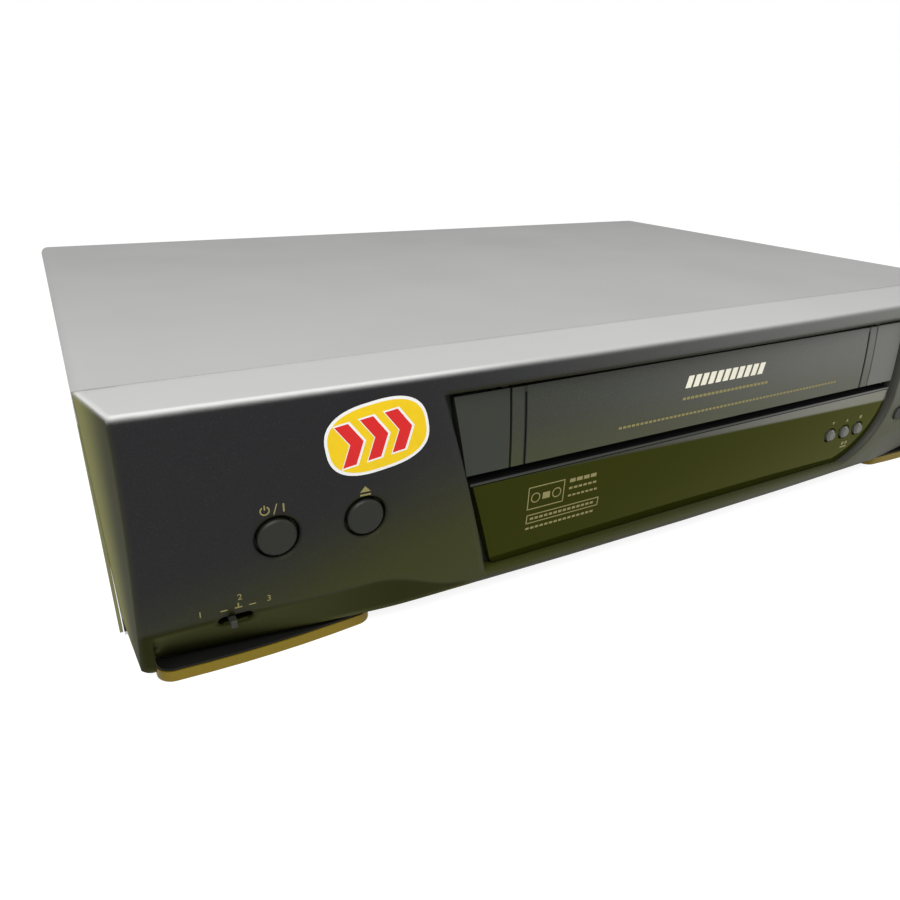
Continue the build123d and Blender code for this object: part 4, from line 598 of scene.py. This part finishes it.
# %% Which finish each record slot gets
finish_of = {
    "cover_paint": cover_enamel, "front_plastic": front_paint, "surround_plastic": frame_black,
    "door_plastic": door_paint, "window_plastic": smoked_acrylic, "button_plastic": button_grey,
    "foot_plastic": foot_black, "trim_gold": trim_gold, "zinc_steel": zinc_plate, "steel_pin": bright_steel,
    "drum_alloy": turned_alloy, "motor_steel": motor_can, "white_plastic": white_acetal,
    "deck_plastic": black_acetal, "belt_rubber": rubber, "board": circuit_board, "core_steel": wound_core,
    "display_glass": tube_glass, "socket_metal": nickel, "can_blue": sleeve_blue, "sink_alloy": sink_alloy,
}
for part in frame["record"]["subparts"]:
    mesh = frame["nodes"][part["node"]].data
    mesh.materials.clear()
    mesh.materials.append(finish_of[part["material_slot"]].material)
frame["nodes"]["flap_spring"].data.materials[0] = dark_steel.material
for node in ("channel_down_button", "channel_up_button", "record_button"):
    frame["nodes"][node].data.materials[0] = small_button_grey.material

# %% [markdown]
# ## Printing on the mouldings
# Legends on a front like this are pad printed: a soft pad carries wet ink from an
# etched plate on to the curved face. A picture laid over the face would blur, so each
# mark is cut as an outline, dropped on to the moulding along the line of sight of the
# pad, and given the thickness of a coat of ink.

# %% Dropping an outline on to a moulding
INK_LIFT, INK_THICK = 0.05, 0.03
LONGEST_EDGE = 3.0
AHEAD_OF_FRONT = -60.0
REARWARD = Vector((0, 1, 0))


def surface_of(node):
    """The faces of a solid, ready to be met by a ray."""
    mesh = frame["nodes"][node].data
    return BVHTree.FromPolygons([v.co.copy() for v in mesh.vertices],
                                [tuple(p.vertices) for p in mesh.polygons])


def drop_on(point, surface, lift_mm):
    """The place in front of the moulding at a flat (x, z) in millimetres."""
    start = place(point[0], AHEAD_OF_FRONT, point[1])
    hit, normal, _, _ = surface.ray_cast(start, REARWARD)
    return hit + normal * (lift_mm * MM)


def split_long_edges(bm):
    while long_edges := [e for e in bm.edges if e.calc_length() > LONGEST_EDGE]:
        bmesh.ops.subdivide_edges(bm, edges=long_edges, cuts=1)
        bmesh.ops.triangulate(bm, faces=bm.faces[:])


def lay_down(bm, name, surface, finish, body="case", slot="trim_gold", lift_mm=INK_LIFT):
    """Drop every corner of a flat mark on to the moulding and give it thickness."""
    split_long_edges(bm)
    bm.verts.index_update()
    flat = [(v.co.x, v.co.z) for v in bm.verts]
    top = [[v.index for v in face.verts] for face in bm.faces]
    rim = [[loop.vert.index, loop.link_loop_next.vert.index]
           for face in bm.faces for loop in face.loops if loop.edge.is_boundary]
    bm.free()
    points = [drop_on(p, surface, lift) for lift in (lift_mm + INK_THICK, lift_mm) for p in flat]
    faces = top + [[i + len(flat) for i in reversed(face)] for face in top]
    faces += [[b, a, a + len(flat), b + len(flat)] for a, b in rim]
    mesh = bpy.data.meshes.new(name)
    mesh.from_pydata(points, [], faces)
    mesh.materials.append(finish.material)
    mark = bpy.data.objects.new(name, mesh)
    bpy.context.scene.collection.objects.link(mark)
    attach(mark, body)
    return mark


def print_shapes(name, shapes, surface, finish, **where):
    """Flat outlines of (x, z) points, printed as one mark."""
    bm = bmesh.new()
    for shape in shapes:
        face = bm.faces.new([bm.verts.new((x, 0, z)) for x, z in shape])
        face.normal_update()
        if face.normal.y > 0:
            face.normal_flip()
    bmesh.ops.triangulate(bm, faces=bm.faces[:])
    return lay_down(bm, name, surface, finish, **where)


front_surface = surface_of("front_panel")
door_surface = surface_of("cassette_flap")
window_surface = surface_of("display_window")
print("top of the front at x = 0:", [round(v, 4) for v in drop_on((0, 84), front_surface, 0)])

# %% [markdown]
# Every legend is made of a few outlines: bars, slanted bars, triangles, discs and
# rings with a gap. Each is a short formula for its corners.

# %% Outlines
RING_STEPS = 28


def ring_arc(x, z, r, start=0.0, end=360.0):
    turns = [radians(start + (end - start) * i / RING_STEPS) for i in range(RING_STEPS + 1)]
    return [(x + r * cos(turn), z + r * sin(turn)) for turn in turns]


def disc(x, z, r):
    return ring_arc(x, z, r)[:-1]


def band(x, z, r, wide, start, end):
    """Part of a ring: out along the outer edge and back along the inner one."""
    return ring_arc(x, z, r, start, end) + ring_arc(x, z, r - wide, end, start)


def bar(x, z, long, high, lean=0.0):
    """Bar about its middle. lean is how far the top stands to the right of the foot."""
    half, shift = long / 2, lean / 2
    return [(x - half - shift, z - high / 2), (x + half - shift, z - high / 2),
            (x + half + shift, z + high / 2), (x - half + shift, z + high / 2)]


def arrow(x, z, long, high, turn=0):
    """Solid triangle that points right, turned left in steps of 90 degrees."""
    corners = [(-long / 2, -high / 2), (long / 2, 0), (-long / 2, high / 2)]
    c, s = round(cos(radians(turn))), round(sin(radians(turn)))
    return [(x + c * px - s * pz, z + s * px + c * pz) for px, pz in corners]


def dashes(x0, x1, z, long, gap, high):
    """As many bars as fit in a row between two places."""
    count = int((x1 - x0 + gap) / (long + gap))
    return [bar(x0 + long / 2 + i * (long + gap), z, long, high) for i in range(count)]


print("a bar has", len(bar(0, 0, 1, 1)), "corners and a disc", len(disc(0, 0, 1)))

# %% [markdown]
# The inks are a dull gold, close to the face's own grey in the shade, and a dense
# white. Legends are picture signs and plain numbers only.

# %% Inks
gold_ink = Finish("gold_ink", roughness=0.45)
gold_ink.mottle(0.25, (0.15, 0.128, 0.033), (0.19, 0.163, 0.044), detail=1.0)
white_ink = Finish("white_ink", roughness=0.5)
white_ink.mottle(0.3, (0.60, 0.58, 0.47), (0.70, 0.67, 0.55), detail=1.0)
print("inks:", gold_ink.material.name, "and", white_ink.material.name)

# %% [markdown]
# The power sign is a broken ring with a bar in the gap, then a stroke and a bar for off
# and on. The eject sign is a triangle over a bar. Three ticks stand at the places of
# the selector's knob, the middle one with a stem.

# %% Power, eject and the selector's ticks
(POWER_X, _), (EJECT_X, _) = BUTTON_CENTRES
BUTTON_MARK_Z = 54.8
SELECTOR_TICKS = (-187.4, -183.2, -179.1)
TICK_Z = 25.2
MARK_LINE = 0.4
ring_x, tick_foot_z = POWER_X - 3.0, TICK_Z - 0.7
power_mark = [band(ring_x, BUTTON_MARK_Z, 1.45, MARK_LINE, 120, 420),
              bar(ring_x, BUTTON_MARK_Z + 0.95, MARK_LINE, 1.5),
              bar(POWER_X, BUTTON_MARK_Z, 0.35, 3.2, lean=1.1), bar(POWER_X + 2.4, BUTTON_MARK_Z, 0.45, 2.6)]
eject_mark = [arrow(EJECT_X, BUTTON_MARK_Z + 0.6, 1.9, 3.4, 90), bar(EJECT_X, BUTTON_MARK_Z - 1.3, 3.4, 0.55)]
left_x, middle_x, right_x = SELECTOR_TICKS
ticks = [bar(left_x, tick_foot_z, 2.0, MARK_LINE), bar(middle_x, tick_foot_z, 2.2, MARK_LINE),
         bar(middle_x, TICK_Z + 0.2, MARK_LINE, 1.6), bar(right_x, tick_foot_z, 2.0, MARK_LINE)]
print_shapes("power_mark", power_mark, front_surface, gold_ink)
print_shapes("eject_mark", eject_mark, front_surface, gold_ink)
print_shapes("selector_ticks", ticks, front_surface, gold_ink)
print("printed round the buttons:", len(power_mark) + len(eject_mark) + len(ticks), "outlines")

# %% [markdown]
# The three places of the selector are numbered. Blender's own typeface gives the
# outlines: a text object is turned into a mesh, stood upright and printed like the
# rest, so the digits follow the moulding too.

# %% Numbers at the selector
DIGIT_HIGH = 2.1
DIGIT_SHARE = 0.7


def print_number(text, x, z):
    """A plain number, set in the built-in typeface and printed on the front."""
    curve = bpy.data.curves.new("number_" + text, "FONT")
    curve.body = text
    curve.size = DIGIT_HIGH / DIGIT_SHARE
    curve.align_x = "CENTER"
    holder = bpy.data.objects.new("number_" + text, curve)
    bpy.context.scene.collection.objects.link(holder)
    bpy.context.view_layer.update()
    flat = holder.evaluated_get(bpy.context.evaluated_depsgraph_get()).to_mesh()
    bm = bmesh.new()
    bm.from_mesh(flat)
    bpy.data.objects.remove(holder)
    for vertex in bm.verts:
        vertex.co = (x + vertex.co.x, 0, z - DIGIT_HIGH / 2 + vertex.co.y)
    bmesh.ops.remove_doubles(bm, verts=bm.verts[:], dist=0.001)
    return lay_down(bm, "selector_number_" + text, front_surface, gold_ink)


print_number("1", -194.0, TICK_Z)
print_number("2", SELECTOR_TICKS[1] + 0.6, TICK_Z + 3.0)
print_number("3", -174.2, TICK_Z)
print("digits are", DIGIT_HIGH, "mm high")

# %% [markdown]
# The keys carry the usual transport signs: back, play and forward over the lower row,
# pause, stop and slow over the upper one. The columns are evenly spaced, so each sign
# is placed by its column.

# %% Transport signs over the keys
KEY_X0, KEY_PITCH = 142.0, 20.0
LOWER_MARK_Z, UPPER_MARK_Z = 37.7, 55.1
first_x, second_x, third_x = (KEY_X0 + column * KEY_PITCH for column in range(3))


def two_arrows(x, z, turn):
    return [arrow(x + side * 1.1, z, 2.1, 2.2, turn) for side in (-1, 1)]


key_marks = two_arrows(first_x, LOWER_MARK_Z, 180) + [arrow(second_x, LOWER_MARK_Z, 2.2, 2.4)]
key_marks += two_arrows(third_x, LOWER_MARK_Z, 0)
key_marks += [bar(first_x + side * 0.7, UPPER_MARK_Z, 0.7, 2.2) for side in (-1, 1)]
key_marks += [bar(second_x, UPPER_MARK_Z, 2.1, 2.1)]
key_marks += [bar(third_x - 1.3, UPPER_MARK_Z, 0.6, 2.2), arrow(third_x + 0.6, UPPER_MARK_Z, 2.0, 2.2)]
print_shapes("key_signs", key_marks, front_surface, gold_ink)
print("transport signs:", len(key_marks), "outlines")

# %% [markdown]
# The three small buttons stand in the window's right end, so their signs are printed on
# the window and not on the front: down, up, and a dot for recording.

# %% Signs over the three small buttons
SMALL_MARK_Z = 34.9
DOWN_X, UP_X, RECORD_X = 89.3, 99.4, 109.5
small_signs = [arrow(DOWN_X, SMALL_MARK_Z, 1.4, 2.0, 270), arrow(UP_X, SMALL_MARK_Z, 1.4, 2.0, 90),
               disc(RECORD_X, SMALL_MARK_Z, 0.9)]
print_shapes("button_signs", small_signs, window_surface, gold_ink)
print("small buttons' signs:", len(small_signs))

# %% [markdown]
# The middle of the door carries a row of white stripes and two fine gold rules. They
# fill the places that makers give to promises about the machine, and promise nothing.

# %% Stripes and rules on the door
STRIPES_X, STRIPES_Z = (-11.0, 33.0), 69.0
STRIPES = 11
stripe_pitch = (STRIPES_X[1] - STRIPES_X[0]) / STRIPES
stripes = [bar(STRIPES_X[0] + (i + 0.5) * stripe_pitch, STRIPES_Z, 0.72 * stripe_pitch, 4.6, lean=1.6)
           for i in range(STRIPES)]
print_shapes("door_stripes", stripes, door_surface, white_ink, body="door", slot="white_plastic")
rules = dashes(-12.0, 37.0, 62.6, 1.7, 0.5, 1.1) + dashes(-43.0, 84.0, 56.2, 1.5, 0.6, 0.9)
print_shapes("door_rules", rules, door_surface, gold_ink, body="door")
print("on the door:", len(stripes), "stripes and", len(rules), "dashes")

# %% [markdown]
# The window shows a small picture of a cassette, with its two reels and a label, over
# rows of dashes. The frames round them are thin bars, and the reels are rings.

# %% Picture on the window
SIGN_X, SIGN_Z = -73.5, 36.2
SIGN_LINE = 0.42
ROWS_TOP_Z, ROWS_PITCH = 39.6, 3.1
ROW_DASHES = ((2.6, 1.5), (1.6, 0.9), (1.4, 0.8))


def frame_of(x, z, wide, high):
    """Four thin bars round a rectangle."""
    rows = [bar(x, z + side * high / 2, wide, SIGN_LINE) for side in (-1, 1)]
    return rows + [bar(x + side * wide / 2, z, SIGN_LINE, high + SIGN_LINE) for side in (-1, 1)]


window_signs = frame_of(SIGN_X, SIGN_Z, 15.5, 8.8) + [bar(SIGN_X, SIGN_Z, 3.2, 2.6)]
window_signs += [band(SIGN_X + side * 4.6, SIGN_Z, 2.0, SIGN_LINE, 0, 359) for side in (-1, 1)]
for row, (long, high) in enumerate(ROW_DASHES):
    window_signs += dashes(-63.4, -48.6, ROWS_TOP_Z - ROWS_PITCH * row, long, 0.6, high)
window_signs += frame_of(-64.8, 27.6, 32.4, 3.4) + dashes(-79.6, -50.0, 27.6, 1.5, 0.6, 1.0)
window_signs += dashes(-81.0, -48.6, 23.6, 1.5, 0.6, 0.9)
window_signs += [disc(101.7, 22.4, 0.9), disc(104.3, 22.4, 0.9), bar(103.0, 20.4, 4.6, 0.9)]
print_shapes("window_signs", window_signs, window_surface, gold_ink)

# %% [markdown]
# ## The sticker
# A glossy paper sticker sits by the cassette door: a yellow badge with a white rim and
# red chevrons. It is die cut, so it is one thin card with its colours printed on top,
# each colour a hair above the one below.

# %% Sticker: paper and outlines
STICKER_AT, STICKER_SIZE, STICKER_TILT = (-138.2, 71.3), (33.0, 21.5), 8.0
BADGE_STEPS, BADGE_SQUARENESS = 56, 0.75
CHEVRON_POINT = 0.55


def paper_gloss(name, colour, deep):
    finish = Finish(name, roughness=0.4, Specular_IOR_Level=0.2)
    finish.mottle(3.0, colour, deep)
    finish.texture(1.5, 0.01, 0.3, detail=2.0)
    return finish


def squared(value):
    """Pushes a sine or a cosine outwards, which turns an oval towards a rectangle."""
    return abs(value) ** BADGE_SQUARENESS * (1 if value > 0 else -1)


def badge(grow):
    """Squarish oval, as wide as the sticker plus grow on each side."""
    half_w, half_h = STICKER_SIZE[0] / 2 + grow, STICKER_SIZE[1] / 2 + grow
    turns = [2 * pi * i / BADGE_STEPS for i in range(BADGE_STEPS)]
    return [(half_w * squared(cos(turn)), half_h * squared(sin(turn))) for turn in turns]


def chevron(x, reach, wide):
    """Band bent to a point on the right."""
    point = reach * CHEVRON_POINT
    outer = [(x + wide, -reach), (x + wide + point, 0), (x + wide, reach)]
    return [(x, -reach), *outer, (x, reach), (x + point, 0)]


def on_sticker(shape):
    """The shape tilted and moved to the sticker's place."""
    c, s = cos(radians(STICKER_TILT)), sin(radians(STICKER_TILT))
    return [(STICKER_AT[0] + c * x - s * z, STICKER_AT[1] + s * x + c * z) for x, z in shape]


print("the badge has", len(badge(0.0)), "corners")

# %% [markdown]
# Each layer is printed in turn, the lowest first, and lies 0.02 mm above the last. The
# white edges are chevrons a little larger than the red ones.

# %% Sticker: its four layers
CHEVRON_STARTS = (-12.5, -4.6, 3.3)
sticker_white = paper_gloss("sticker_white", (0.62, 0.62, 0.60), (0.57, 0.57, 0.55))
sticker_yellow = paper_gloss("sticker_yellow", (0.62, 0.42, 0.004), (0.57, 0.385, 0.004))
sticker_red = paper_gloss("sticker_red", (0.50, 0.012, 0.012), (0.44, 0.010, 0.010))
sticker_layers = (
    ("sticker_card", [badge(0.0)], sticker_white, 0.08),
    ("sticker_badge", [badge(-0.9)], sticker_yellow, 0.10),
    ("sticker_edges", [chevron(x - 0.55, 6.9, 5.3) for x in CHEVRON_STARTS], sticker_white, 0.12),
    ("sticker_chevrons", [chevron(x, 6.4, 4.2) for x in CHEVRON_STARTS], sticker_red, 0.14),
)
for name, shapes, finish, lift in sticker_layers:
    placed = [on_sticker(shape) for shape in shapes]
    print_shapes(name, placed, front_surface, finish, slot="white_plastic", lift_mm=lift)
print("sticker layers:", [layer[0] for layer in sticker_layers])

# %% [markdown]
